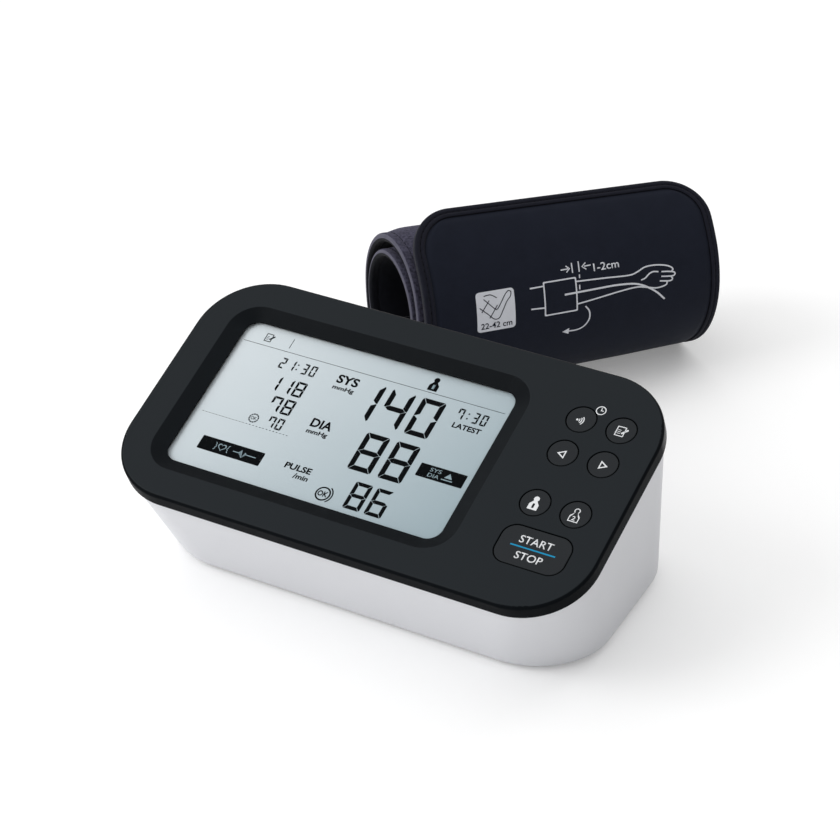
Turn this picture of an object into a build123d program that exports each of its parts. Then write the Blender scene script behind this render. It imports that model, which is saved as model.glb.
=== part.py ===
"""Desktop upper-arm blood pressure monitor and its rolled-up arm cuff.

Millimetres. +X is to the user's right, +Y points away from the user and +Z is up. Everything is drawn with
its origin on the table, under the middle of the tilted control panel, and saved about the middle of the
footprint of monitor and cuff together. The panel leans back by panel_tilt, so what sits on it is drawn flat
(u across, v up the slope, w out of the face) and then laid on the plane PANEL. The cuff lies on the table
behind the monitor. It is drawn along its own X axis and then turned into place.
"""
from build123d import *
import os
from math import cos, degrees, radians, sin, tan

# ---------------------------------------------------------------- monitor: panel and cover
panel_width = 191.0
panel_length = 102.2          # up the slope
panel_tilt = 25.8             # degrees
panel_height = 62.7           # table to the middle of the panel face
panel_corner = 26.4
panel_edge_round = 1.2
cover_depth = 5.8             # skirt of the cover, along the panel's normal
cover_wall = 2.2
cover_plate = 2.4

# ---------------------------------------------------------------- monitor: lower housing
base_front = -24.4            # y of the footprint's front edge
base_back = 74.0
base_width_front = panel_width - 8.4
base_width_back = panel_width - 22.6
base_corner = 29.8
base_round = 4.6
foot_lift = 1.0               # feet hold the housing this far off the table
housing_inset = 0.8           # shadow step under the cover
housing_wall = 2.2
housing_floor = 2.6
seam_gap = 0.15
tongue_thickness = 1.6
tongue_height = 1.7
tongue_clearance = 0.2
tongue_root = 2.0             # tongue below the seam
hook_stem = 1.2
hook_nib = 1.0
hook_nib_reach = 0.9
hook_span = 8.0
hook_gap = 0.3
outer_hook_x = panel_width / 2 - 35.5
front_hooks = (-outer_hook_x, 0.0, outer_hook_x)

# ---------------------------------------------------------------- display
display_margin = 12.4         # cover's left edge to the surround
rim_width = panel_width - 64.4  # outer edge of the sloping surround
rim_length = 78.4
rim_corner = 12.0
rim_round = 0.8
display_u = display_margin - (panel_width - rim_width) / 2
display_v = -0.1
window_width = rim_width - 12.4  # clear opening at the foot of the slope
window_length = 67.0
window_corner = 5.6
surround_depth = 2.4
window_lip = 0.4
lens_lap = 1.9                # lens hidden behind the lip, each side
lens_thickness = 1.0
lens_clearance = 0.2
well_wall = 1.8
lcd_gap = 0.2
lcd_thickness = 2.2
lcd_margin = 0.8              # glass past the clear opening, each side
lcd_corner = 1.0
lcd_step = 0.6
reflector_thickness = 1.6
holder_wall = 1.6
holder_back = 1.2
holder_clearance = 0.2
holder_flange = 5.0           # ledge under the glass

# ---------------------------------------------------------------- buttons
button_radius = 5.3
button_gap = 0.35
button_round = 0.25
button_column_1 = panel_width / 2 - 31.4
button_column_2 = panel_width / 2 - 15.8
button_row_1 = 28.9
button_row_2 = 13.6
button_row_3 = -8.6
start_u = panel_width / 2 - 23.6
start_v = -26.55
start_width = 26.3
start_length = 15.5
start_corner = 5.2
button_travel = 0.8
flange_reach = 0.9            # flange past the hole's edge
flange_thickness = 0.8
flange_gap = 0.15
stem_radius = 2.4
stem_depth = 4.6              # panel face to the end of the stem
dome_clearance = 0.2
dome_radius = 3.2
mat_thickness = 0.8
mat_margin = 3.4
mat_edge = 2.0
mat_corner = 3.0

# ---------------------------------------------------------------- main board
board_depth = 10.0            # panel face to the board's upper side
board_thickness = 1.6
board_left = -(panel_width / 2 - 7.5)
board_right = panel_width / 2 - 11.0
board_front = -42.0
board_back = 35.0
board_corner = 12.0
chip_height = 1.6
board_post_radius = 2.6
board_screw_radius = 1.25
board_screw_grip = 4.0
board_screw_head = 1.4
board_screw_left = board_left + 3.0
board_screw_gap = 0.6         # from a key's flange to the pillar beside it
board_screw_right = button_column_1 - button_radius - button_gap - flange_reach - board_screw_gap - board_post_radius
board_screw_places = [(board_screw_left, 24.0), (board_screw_left, -30.0),
                      (board_screw_right, 31.5), (board_screw_right, -30.0)]
chip_places = [(-30.0, 0.0, 12.0, 12.0), (0.0, 10.0, 8.0, 6.0), (board_right - 46.0, -14.0, 14.0, 10.0),
               (board_right - 26.5, 12.0, 10.0, 5.0), (board_left + 26.0, -18.0, 9.0, 7.0)]

# ---------------------------------------------------------------- case screws
middle_post_x = panel_width / 2 - 45.0
case_posts = [(-50.0, 41.5), (50.0, 41.5), (middle_post_x, 0.0)]
boss_radius = 2.4
boss_depth = 7.0              # panel face to the foot of the boss, along the normal
post_radius = 3.6
post_gap = 0.1
screw_radius = 1.3
screw_length = 11.0
screw_head_radius = 2.6
screw_head_height = 1.8
screw_hole_clearance = 0.25
counterbore_clearance = 0.3
post_web = 3.0                # plastic between the screw head and the boss
post_notch = 0.6

# ---------------------------------------------------------------- batteries and their door
cell_radius = 7.1
cell_length = 48.2
cell_nub_radius = 2.6
cell_nub_length = 1.6
cell_pitch = 14.8
cell_count = 4
bay_front = -19.0
bay_side_clearance = 0.5
bay_end_clearance = 2.2       # room for a contact at each end
bay_wall = 1.8
bay_roof = 1.6
door_thickness = 1.8
door_lap = 2.4
door_clearance = 0.3
door_rib_height = 1.0
latch_width = 14.0
latch_reach = 3.4
contact_thickness = 0.4
spring_radius = 2.9
spring_wire = 0.4

# ---------------------------------------------------------------- feet
foot_radius = 5.5
foot_sink = 0.9
foot_clearance = 0.1
foot_front_x = panel_width / 2 - 35.5
foot_back_x = panel_width / 2 - 39.5
foot_places = [(-foot_front_x, -8.0), (foot_front_x, -8.0), (-foot_back_x, 58.0), (foot_back_x, 58.0)]

# ---------------------------------------------------------------- air pump, valve, sensor
pump_y = 49.5
pump_z = 16.5
motor_x = -12.0
motor_radius = 12.0
motor_length = 31.0
motor_round = 1.2
head_size = 24.0
head_length = 24.0
head_wall = 3.0
shaft_radius = 1.0
shaft_clearance = 0.06
cam_radius = 5.0
cam_offset = 1.4
cam_length = 7.0
cradle_thickness = 7.0
cradle_clearance = 0.1
cradle_half_width = 10.5
cradle_places = (3.0, 20.0)   # from the motor's rear face
nipple_radius = 1.9
nipple_bore = 0.9
nipple_length = 6.0
hose_radius = 2.7
hose_bend = 7.0
hose_reach = 14.0             # past the pump, before the line turns back
hose_rise = 8.0
hose_first_side = 16.0        # from the pump's axis
hose_back = 30.0
hose_second_side = 22.0
hose_turn_x = -20.0           # where the line comes down to the level of the cuff socket
valve_x = -42.0
valve_z = 23.0
valve_radius = 8.0
valve_length = 22.0
plunger_radius = 1.6
plunger_length = 9.0
plunger_travel = 1.2
plunger_clearance = 0.08

# ---------------------------------------------------------------- sockets
jack_y = 28.0
jack_z = 25.0
jack_face = -(panel_width / 2 - 5.3)
jack_radius = 6.6
jack_length = 16.0
jack_bore = 3.9
jack_bore_depth = 12.0
jack_clearance = 0.15
jack_collar_place = 6.0       # from the socket's mouth
jack_collar = 2.0
power_x = 51.0
power_z = 15.0
power_body = 11.0
power_length = 13.0
power_bore = 3.2
power_bore_depth = 9.0
power_pin_radius = 1.0
power_clearance = 0.2

# ---------------------------------------------------------------- arm cuff
cuff_x = -75.0                # left end of the roll, on the table under its middle
cuff_y = 128.1
cuff_turn = 53.0              # degrees from +X to the roll's axis
cuff_width = 133.0
cuff_narrowing = 0.923        # the far end of the roll, as a share of the near end
cuff_thickness = 4.0
cuff_pitch = 5.2              # one turn to the next
flap_radius = 42.4            # outer face of the flap where it follows the roll
stand_off_share = 1.792       # radii of the other arcs, as shares of flap_radius
under_share = 0.4159
back_share = 1.2683
roll_share = 0.6958
flap_edge_angle = 54.0        # degrees, front to top: the flap's free edge
flap_break_angle = 31.0       # above this the flap stands off the roll
under_angle = -84.0
back_angle = -140.0
roll_angle = -180.0           # from here the half turns run inwards
half_turns = 4
last_trim_angle = 40.0        # the innermost half turn stops short by this
hinge_rise_angle = 20.0       # the hinge lies this far in front of the turn under the roll
hinge_gap = 0.5
flap_corner = 19.4
binding_width = 4.2
binding_proud = 0.25
cloth_thickness = 0.8
bladder_thickness = 1.2
curler_thickness = 0.9
ply_gap = 0.1
ply_margin = 8.0
ply_start_angle = 5.0         # the pocket starts this far past the turn into the back
ply_end_angle = 16.0          # and ends this far short of the strap
ply_trim_angle = 2.0
ply_play = 0.5                # room round the sheets inside the sleeve
patch_thickness = 0.35        # hook tape inside the flap
patch_length = 44.0
patch_width = 96.0
patch_margin = 10.0
port_s = 96.0                 # along the roll
port_angle = -158.0
port_radius = 5.0
port_stem_radius = 3.9
port_bore = 2.1
port_bore_floor = 0.5         # the bore ends this far outside the cloth
port_passage_radius = 1.5     # from the bore on into the bladder
port_height = 9.0
port_flange_radius = 9.0
port_flange_thickness = 1.4
port_sag = 0.5                # the roll curves away under the stem

# ---------------------------------------------------------------- frames of reference
footprint_x = 0.0             # middle of monitor and cuff together, from under the panel
footprint_y = 100.88
TILT = radians(panel_tilt)
PANEL = Plane(origin=(0, 0, panel_height), x_dir=(1, 0, 0), z_dir=(0, -sin(TILT), cos(TILT)))
CUFF = Location((cuff_x, cuff_y, 0), (0, 0, cuff_turn))


def on_panel(shape):
    """Lay a shape drawn in u, v, w on the tilted panel."""
    return PANEL.location * shape


def panel_z(y, depth=0.0):
    """Height at y of the plane that lies depth under the panel face."""
    return panel_height + y * tan(TILT) - depth / cos(TILT)


def slab(width, length, radius, top, bottom, at=(0.0, 0.0)):
    """A rounded rectangular plate between two levels."""
    outline = Plane.XY.offset(bottom) * Pos(*at) * RectangleRounded(width, length, radius)
    return extrude(outline, amount=top - bottom)


def disc(radius, top, bottom, at=(0.0, 0.0)):
    """A round plate between two levels."""
    return extrude(Plane.XY.offset(bottom) * Pos(*at) * Circle(radius), amount=top - bottom)


def block(low, high):
    """A box between two corners."""
    size = [b - a for a, b in zip(low, high)]
    return Pos(*low) * Box(*size, align=(Align.MIN, Align.MIN, Align.MIN))


def rod(start, end, radius):
    """A round rod between two points."""
    line = Line(start, end)
    return extrude(Plane(origin=start, z_dir=line % 0) * Circle(radius), amount=line.length)


def rounded_quad(corners, radius):
    """A four-cornered outline with equal round corners, drawn counter-clockwise."""
    face = make_face(Polyline(*corners, close=True))
    return fillet(face.vertices(), radius)


def arc_angle(length, radius):
    """Degrees that a length takes up along an arc."""
    return degrees(length / radius)


def save(name, shape):
    """Write one sub-part, about the middle of the whole footprint."""
    export_step(Pos(-footprint_x, -footprint_y, 0) * shape, f"parts/{name}.step")


# ---------------------------------------------------------------- buttons
button_places = {
    "button_link": (button_column_1, button_row_1),
    "button_memory": (button_column_2, button_row_1),
    "button_back": (button_column_1, button_row_2),
    "button_forward": (button_column_2, button_row_2),
    "button_user_1": (button_column_1, button_row_3),
    "button_user_2": (button_column_2, button_row_3),
}


def round_button(at):
    """A round key: cap flush with the panel, flange behind it and a stem to the rubber dome."""
    flange_top = -cover_plate - flange_gap
    cap = disc(button_radius, 0, flange_top, at)
    cap = fillet(cap.edges().group_by(Axis.Z)[-1], button_round)
    flange_radius = button_radius + button_gap + flange_reach
    flange = disc(flange_radius, flange_top, flange_top - flange_thickness, at)
    return cap + flange + disc(stem_radius, flange_top, -stem_depth, at)


def start_button():
    """The wide start and stop key."""
    at = (start_u, start_v)
    flange_top = -cover_plate - flange_gap
    reach = 2 * (button_gap + flange_reach)
    cap = slab(start_width, start_length, start_corner, 0, flange_top, at)
    cap = fillet(cap.edges().group_by(Axis.Z)[-1], button_round)
    flange = slab(start_width + reach, start_length + reach, start_corner + reach / 2,
                  flange_top, flange_top - flange_thickness, at)
    return cap + flange + disc(stem_radius, flange_top, -stem_depth, at)


def button_holes():
    """The panel's holes for all seven keys."""
    holes = [disc(button_radius + button_gap, 1, -cover_depth, at) for at in button_places.values()]
    holes.append(slab(start_width + 2 * button_gap, start_length + 2 * button_gap,
                      start_corner + button_gap, 1, -cover_depth, (start_u, start_v)))
    return holes


def keypad_mat():
    """Rubber sheet on the board with a dome under every key."""
    places = list(button_places.values()) + [(start_u, start_v)]
    left = min(u for u, v in places) - dome_radius - mat_margin
    right = max(u for u, v in places) + dome_radius + mat_edge
    front = min(v for u, v in places) - dome_radius - mat_margin
    back = max(v for u, v in places) + dome_radius + mat_edge
    middle = ((left + right) / 2, (front + back) / 2)
    top = -board_depth + mat_thickness
    mat = slab(right - left, back - front, mat_corner, top, -board_depth, middle)
    dome_top = -stem_depth - button_travel - dome_clearance
    for at in places:
        dome = disc(dome_radius, dome_top, top, at)
        mat += chamfer(dome.edges().group_by(Axis.Z)[-1], dome_radius / 3)
    return mat


# ---------------------------------------------------------------- top cover and display
lens_width = window_width + 2 * lens_lap
lens_length = window_length + 2 * lens_lap
lens_corner = window_corner + lens_lap
lens_top = -surround_depth - window_lip
lcd_top = lens_top - lens_thickness - lcd_gap
well_bottom = lcd_top
lcd_width = window_width + 2 * lcd_margin
lcd_length = window_length + 2 * lcd_margin
display_at = (display_u, display_v)


def display_surround():
    """The cut that slopes from the panel face down to the clear window."""
    rim = Pos(*display_at) * RectangleRounded(rim_width, rim_length, rim_corner)
    window = Plane.XY.offset(-surround_depth) * Pos(*display_at) * RectangleRounded(
        window_width, window_length, window_corner)
    return loft([rim.face(), window.face()], ruled=True)


def cover_boss(x, y):
    """A screw boss that hangs straight down from the cover."""
    foot = panel_z(y, boss_depth)
    head = panel_z(y, cover_plate / 2) - boss_radius * tan(TILT) / 2
    boss = rod((x, y, foot), (x, y, head), boss_radius)
    pilot_depth = screw_length - post_web
    return boss, rod((x, y, foot - 1), (x, y, min(foot + pilot_depth, head - 1)), screw_radius)


def cover_hook(half_span, turn, along):
    """Snap hook behind the skirt: it springs in under the housing's tongue. Turn 0 faces up the slope."""
    face = half_span - cover_wall - tongue_clearance - tongue_thickness - hook_gap
    low = -(cover_depth + seam_gap + tongue_root + hook_gap + hook_nib)
    half = hook_span / 2
    stem = block((along - half, face - hook_stem, low), (along + half, face, -cover_plate / 2))
    nib = block((along - half, face - hook_stem, low), (along + half, face + hook_nib_reach, low + hook_nib))
    return Rot(0, 0, turn) * (stem + nib)


def cover_hooks():
    """Three hooks along the front edge and one at each side."""
    front = [cover_hook(panel_length / 2, 180, along) for along in front_hooks]
    return front + [cover_hook(panel_width / 2, turn, 0) for turn in (90, -90)]


def top_cover():
    """Black fascia: plate with a skirt, the display well, the hooks, the pillars and the screw bosses."""
    shell = slab(panel_width, panel_length, panel_corner, 0, -cover_depth)
    shell = fillet(shell.edges().group_by(Axis.Z)[-1], panel_edge_round)
    shell -= slab(panel_width - 2 * cover_wall, panel_length - 2 * cover_wall, panel_corner - cover_wall,
                  -cover_plate, -cover_depth - 1)
    pocket = lens_clearance + well_wall
    shell += slab(lens_width + 2 * pocket, lens_length + 2 * pocket, lens_corner + pocket,
                  -cover_plate / 2, well_bottom, display_at)
    shell -= display_surround()
    shell = fillet(rim_edges(shell), rim_round)
    shell -= slab(window_width, window_length, window_corner, -surround_depth / 2, lens_top - 1, display_at)
    shell -= slab(lens_width + 2 * lens_clearance, lens_length + 2 * lens_clearance,
                  lens_corner + lens_clearance, lens_top, well_bottom - 1, display_at)
    for hole in button_holes():
        shell -= hole
    shell = fillet(hole_edges(shell), button_round)
    for part in cover_hooks() + board_pillars():
        shell += part
    cover = on_panel(shell)
    for place in case_posts:
        boss, pilot = cover_boss(*place)
        cover = cover + boss - pilot
    return cover


def rim_edges(shell):
    """Edges of the display surround that lie on the panel face."""
    top = shell.faces().sort_by(Axis.Z)[-1]
    return top.inner_wires()[0].edges()


def hole_edges(shell):
    """Edges of the key holes on the panel face, right of the display."""
    top = shell.faces().sort_by(Axis.Z)[-1]
    limit = display_u + rim_width / 2 + rim_round
    return [edge for wire in top.inner_wires() if wire.center().X > limit for edge in wire.edges()]


def display_lens():
    """Clear window, set in from behind against the lip."""
    return slab(lens_width, lens_length, lens_corner, lens_top, lens_top - lens_thickness, display_at)


def lcd_glass():
    """Liquid crystal cell: a rear glass with a slightly smaller front glass on it."""
    half = lcd_thickness / 2
    rear = slab(lcd_width, lcd_length, lcd_corner, lcd_top - half, lcd_top - lcd_thickness, display_at)
    front = slab(lcd_width - lcd_step, lcd_length - lcd_step, lcd_corner, lcd_top, lcd_top - half, display_at)
    return rear + front


def lcd_reflector():
    """Light guide and reflector behind the glass."""
    top = lcd_top - lcd_thickness
    return slab(lcd_width - 2 * lcd_margin, lcd_length - 2 * lcd_margin, lcd_corner,
                top, top - reflector_thickness, display_at)


def lcd_holder():
    """Tray that clamps the glass and reflector to the cover and stands on the board."""
    inner_width = lcd_width + 2 * holder_clearance
    inner_length = lcd_length + 2 * holder_clearance
    tray_top = lcd_top - holder_clearance
    tray_floor = lcd_top - lcd_thickness - reflector_thickness
    reach = 2 * holder_wall
    tray = slab(inner_width + reach, inner_length + reach, lcd_corner + holder_wall,
                tray_top, -board_depth, display_at)
    tray -= slab(inner_width, inner_length, lcd_corner, tray_top + 1, tray_floor, display_at)
    skirt = slab(inner_width, inner_length, lcd_corner, tray_floor - holder_back, -board_depth - 1, display_at)
    vent = slab(inner_width - 4 * holder_flange, inner_length - 4 * holder_flange, holder_flange,
                0, -board_depth - 1, display_at)
    return tray - skirt - vent


# ---------------------------------------------------------------- main board
def posts(radius, bottom, top_depth):
    """Upright cylinders at the case screws, from a level up to a depth under the panel."""
    return [rod((x, y, bottom), (x, y, panel_z(y, top_depth)), radius) for x, y in case_posts]


def main_board():
    """Circuit board under the display and the keys, notched round the case posts."""
    middle = ((board_left + board_right) / 2, (board_front + board_back) / 2)
    board = slab(board_right - board_left, board_back - board_front, board_corner,
                 -board_depth, -board_depth - board_thickness, middle)
    for at in board_screw_places:
        board -= disc(board_screw_radius + screw_hole_clearance, 0, -board_depth - 5, at)
    return on_panel(board) - posts(post_radius + post_notch, 0, 0)


def board_chips():
    """Controller, memory, radio module and connector on the board's underside."""
    under = -board_depth - board_thickness
    return [slab(w, l, 0.4, under, under - chip_height, (u, v)) for u, v, w, l in chip_places]


def board_screws():
    """Four small screws that hold the board up against the cover's pillars."""
    under = -board_depth - board_thickness
    screws = []
    for at in board_screw_places:
        head = disc(2 * board_screw_radius, under, under - board_screw_head, at)
        screws.append(head + disc(board_screw_radius, -board_depth + board_screw_grip, under, at))
    return screws


def board_pillars():
    """Pillars under the cover plate that the board is screwed to."""
    pillars = []
    for at in board_screw_places:
        pillar = disc(board_post_radius, -cover_plate / 2, -board_depth, at)
        pillars.append(pillar - disc(board_screw_radius, -board_depth + board_screw_grip, -board_depth - 1, at))
    return pillars


# ---------------------------------------------------------------- lower housing
floor_top = foot_lift + housing_floor
bay_width = (cell_count - 1) * cell_pitch + 2 * (cell_radius + bay_side_clearance)
bay_back = bay_front + cell_length + cell_nub_length + 2 * bay_end_clearance
door_top = foot_lift + door_thickness
cell_z = door_top + door_rib_height + cell_radius
bay_top = cell_z + cell_radius + 0.4


def base_outline(inset, z):
    """The footprint, drawn in by an inset, at a height."""
    front, back = base_front + inset, base_back - inset
    half_front, half_back = base_width_front / 2 - inset, base_width_back / 2 - inset
    corners = [(-half_front, front), (half_front, front), (half_back, back), (-half_back, back)]
    return Plane.XY.offset(z) * rounded_quad(corners, base_corner - inset)


def collar_outline(inset, depth):
    """The outline under the cover, drawn in by an inset, at a depth below the panel face."""
    half_width, half_length = panel_width / 2 - inset, panel_length / 2 - inset
    corners = [(-half_width, -half_length), (half_width, -half_length),
               (half_width, half_length), (-half_width, half_length)]
    return PANEL.offset(-depth) * rounded_quad(corners, panel_corner - inset)


def housing_form(inset, bottom, depth):
    """Solid between the collar under the cover and the footprint."""
    sections = [base_outline(inset, bottom).face(), collar_outline(housing_inset + inset, depth).face()]
    return loft(sections, ruled=True)


def housing_shell():
    """Outer skin of the lower housing with its rounded foot."""
    split = cover_depth + seam_gap
    outer = housing_form(0, foot_lift, split)
    outer = fillet(outer.faces().sort_by(Axis.Z)[0].edges(), base_round)
    return outer - housing_form(housing_wall, floor_top, split)


def housing_tongue():
    """Lip that stands up inside the cover's skirt."""
    outer_inset = cover_wall + tongue_clearance
    inner_inset = outer_inset + tongue_thickness
    low = cover_depth + seam_gap + tongue_root
    high = cover_depth - tongue_height
    ring = extrude(collar_outline(outer_inset, low), amount=low - high)
    return ring - extrude(collar_outline(inner_inset, low), amount=low - high)


def battery_bay(grow, low, high):
    """Box of the battery compartment, grown by a wall, between two heights."""
    half = bay_width / 2 + grow
    return block((-half, bay_front - grow, low), (half, bay_back + grow, high))


def lower_housing():
    """White tub: shell, tongue, battery compartment, screw posts and seats for what it carries."""
    tub = housing_shell() + housing_tongue()
    tub += battery_bay(bay_wall, foot_lift, bay_top + bay_roof)
    for post in posts(post_radius, foot_lift, boss_depth + post_gap):
        tub += post
    tub -= battery_bay(0, 0, bay_top)
    tub -= battery_bay(door_lap + door_clearance, 0, door_top + 0.2)
    tub -= latch_notch(door_clearance)
    for x, y in case_posts:
        seat = panel_z(y, boss_depth + post_gap) - post_web
        tub -= rod((x, y, 0), (x, y, seat), screw_head_radius + counterbore_clearance)
        tub -= rod((x, y, 0), (x, y, seat + 2 * post_web), screw_radius + screw_hole_clearance)
    for x, y in foot_places:
        tub -= disc(foot_radius + foot_clearance, foot_lift + foot_sink, 0, (x, y))
    tub -= rod((jack_face - 20, jack_y, jack_z), (jack_face + 20, jack_y, jack_z), jack_radius + jack_clearance)
    tub -= rod((power_x, power_face() - 3, power_z), (power_x, base_back + 5, power_z),
               power_bore + power_clearance + 1.2)
    tub += air_jack_bracket() + power_bracket() + valve_bracket()
    return tub


def latch_notch(grow):
    """Finger notch at the back edge of the battery door."""
    back = bay_back + door_lap
    half = latch_width / 2 + grow
    return block((-half, back - 1, 0), (half, back + latch_reach + grow, door_top + 0.2))


def battery_door():
    """Flush lid under the cells, with ribs that carry them and a finger latch."""
    lap = door_lap
    half = bay_width / 2 + lap
    door = block((-half, bay_front - lap, foot_lift), (half, bay_back + lap, door_top))
    door = fillet(door.edges().filter_by(Axis.Z), 1.5)
    back = bay_back + lap
    latch = block((-latch_width / 2, back - 1, foot_lift), (latch_width / 2, back + latch_reach, door_top))
    latch = fillet(latch.edges().filter_by(Axis.Z).group_by(Axis.Y)[-1], 2.5)
    door += latch
    for step in (0.3, 0.7):
        y = bay_front + step * (bay_back - bay_front)
        rib_half = bay_width / 2 - 1.0
        door += block((-rib_half, y - 0.8, door_top), (rib_half, y + 0.8, door_top + door_rib_height - 0.2))
    return door


def cell_places():
    """x of each cell and the side its positive end points to."""
    first = -(cell_count - 1) / 2 * cell_pitch
    return [(first + i * cell_pitch, 1 if i % 2 == 0 else -1) for i in range(cell_count)]


def battery_cells():
    """Four AA cells, laid head to tail."""
    cells = []
    middle = (bay_front + bay_back) / 2
    for x, side in cell_places():
        start = middle - side * (cell_length + cell_nub_length) / 2
        shoulder = start + side * cell_length
        can = rod((x, start, cell_z), (x, shoulder, cell_z), cell_radius)
        can = fillet(can.edges(), 0.6)
        nub = rod((x, shoulder - side * 0.5, cell_z), (x, shoulder + side * cell_nub_length, cell_z), cell_nub_radius)
        cells.append(can + nub)
    return cells


def battery_contacts():
    """Plates against the end walls, with a coil for each negative end."""
    contacts = []
    middle = (bay_front + bay_back) / 2
    half_run = (cell_length + cell_nub_length) / 2
    for x, side in cell_places():
        for end in (-1, 1):
            wall = bay_front if end < 0 else bay_back
            plate = block((x - 5.5, min(wall, wall - end * contact_thickness), cell_z - 5.5),
                          (x + 5.5, max(wall, wall - end * contact_thickness), cell_z + 5.5))
            tip = middle + end * half_run
            gap = abs(wall - tip) - contact_thickness
            if end == side:
                pad = rod((x, tip + end * 0.1, cell_z), (x, wall - end * contact_thickness / 2, cell_z), 2.0)
                contacts.append(plate + pad)
            else:
                contacts.append(plate + coil_spring(x, wall - end * contact_thickness, -end, gap - 0.1))
    return contacts


def coil_spring(x, y, direction, length):
    """Compressed coil, as a stack of rings on a short core."""
    rings = 3
    coil = rod((x, y - direction * 0.05, cell_z), (x, y + direction * length, cell_z), spring_radius - 2 * spring_wire)
    for i in range(rings):
        place = y + direction * (spring_wire + i * (length - 2 * spring_wire) / (rings - 1))
        plane = Plane(origin=(x, place, cell_z), z_dir=(0, 1, 0))
        coil += plane.location * Torus(spring_radius - spring_wire, spring_wire)
    return coil


def rubber_feet():
    """Four round feet pressed into the floor."""
    feet = []
    for at in foot_places:
        foot = disc(foot_radius, foot_lift + foot_sink, 0, at)
        feet.append(fillet(foot.edges().group_by(Axis.Z)[0], 0.5))
    return feet


def case_screws():
    """Self-tapping screws, up through the posts into the cover's bosses."""
    screws = []
    for x, y in case_posts:
        seat = panel_z(y, boss_depth + post_gap) - post_web
        head = rod((x, y, seat - screw_head_height), (x, y, seat), screw_head_radius)
        tip = min(seat + screw_length, panel_z(y, cover_plate) - 1.5)
        screws.append(head + rod((x, y, seat), (x, y, tip), screw_radius - 0.02))
    return screws


# ---------------------------------------------------------------- pump, valve and air line
motor_end = motor_x + motor_length
head_end = motor_end + head_length
hose_z = pump_z + head_size / 2 - 5.0


def pump_motor():
    """Round motor can with a bearing collar, bored for its shaft."""
    can = rod((motor_x, pump_y, pump_z), (motor_end, pump_y, pump_z), motor_radius)
    can = fillet(can.edges().group_by(Axis.X)[0], motor_round)
    return can - rod((motor_x + 6, pump_y, pump_z), (motor_end + 1, pump_y, pump_z), shaft_radius + shaft_clearance)


def pump_head():
    """Diaphragm housing on the motor's front, with its outlet nipple."""
    half = head_size / 2
    head = block((motor_end, pump_y - half, pump_z - half), (head_end, pump_y + half, pump_z + half))
    head = fillet(head.edges().filter_by(Axis.X), 3.0)
    head -= rod((motor_end - 1, pump_y, pump_z), (head_end - head_wall, pump_y, pump_z), half - head_wall)
    nipple = rod((head_end - 1, pump_y, hose_z), (head_end + nipple_length, pump_y, hose_z), nipple_radius)
    head += nipple
    return head - rod((head_end - head_wall - 1, pump_y, hose_z),
                      (head_end + nipple_length + 1, pump_y, hose_z), nipple_bore)


def pump_rotor():
    """Motor shaft with the eccentric cam that drives the diaphragms."""
    shaft = rod((motor_x + 7, pump_y, pump_z), (head_end - head_wall - 2, pump_y, pump_z), shaft_radius)
    cam_start = motor_end + 3
    cam = rod((cam_start, pump_y, pump_z + cam_offset), (cam_start + cam_length, pump_y, pump_z + cam_offset),
              cam_radius)
    return shaft + cam


def pump_cradles():
    """Two rubber saddles that carry the motor on the housing floor."""
    saddles = []
    half = cradle_half_width
    top = pump_z - (motor_radius ** 2 - half ** 2) ** 0.5
    for start in cradle_places:
        x = motor_x + start
        saddle = block((x, pump_y - half, floor_top), (x + cradle_thickness, pump_y + half, top))
        saddle -= rod((x - 1, pump_y, pump_z), (x + cradle_thickness + 1, pump_y, pump_z),
                      motor_radius + cradle_clearance)
        saddles.append(saddle)
    return saddles


def valve_body():
    """Solenoid release valve with its inlet nipple and plunger bore."""
    end = valve_x + valve_length
    body = rod((valve_x, pump_y, valve_z), (end, pump_y, valve_z), valve_radius)
    body = fillet(body.edges(), 0.8)
    body += rod((valve_x - nipple_length, pump_y, valve_z), (valve_x + 1, pump_y, valve_z), nipple_radius)
    body -= rod((valve_x - nipple_length - 1, pump_y, valve_z), (valve_x + 6, pump_y, valve_z), nipple_bore)
    return body - rod((end - plunger_length - plunger_travel, pump_y, valve_z), (end + 1, pump_y, valve_z),
                      plunger_radius + plunger_clearance)


def valve_plunger():
    """Steel plunger that the coil draws in to shut the vent."""
    end = valve_x + valve_length
    return rod((end - plunger_length, pump_y, valve_z), (end + 2.0, pump_y, valve_z), plunger_radius)


def valve_bracket():
    """Saddle on the housing floor under the valve."""
    x = valve_x + 4
    half = valve_radius + 1.5
    saddle = block((x, pump_y - half, floor_top - 0.5), (x + 12, pump_y + half, valve_z - 2))
    return saddle - rod((x - 1, pump_y, valve_z), (x + 13, pump_y, valve_z), valve_radius + 0.1)


manifold_x = jack_face + jack_length + 0.2
manifold_size = 9.0


def air_manifold():
    """Four-way block between the pump, the valve, the sensor and the cuff socket."""
    half = manifold_size / 2
    low_y = jack_y - half
    body = block((manifold_x, low_y, jack_z - half), (manifold_x + manifold_size, pump_y + half, jack_z + half))
    body = fillet(body.edges().filter_by(Axis.Y), 1.5)
    end_x = manifold_x + manifold_size
    body += rod((end_x - 1, jack_y, jack_z), (end_x + nipple_length, jack_y, jack_z), nipple_radius)
    body += rod((end_x - 1, pump_y, valve_z), (end_x + nipple_length, pump_y, valve_z), nipple_radius)
    top = jack_z + half
    body += rod((manifold_x + half, sensor_y, top - 1), (manifold_x + half, sensor_y, top + nipple_length),
                nipple_radius)
    body -= rod((manifold_x + half, low_y + 2, jack_z), (manifold_x + half, pump_y + 2, jack_z), nipple_bore)
    return body - rod((manifold_x - 1, jack_y, jack_z), (end_x + nipple_length + 1, jack_y, jack_z), nipple_bore)


sensor_y = 31.0


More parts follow.
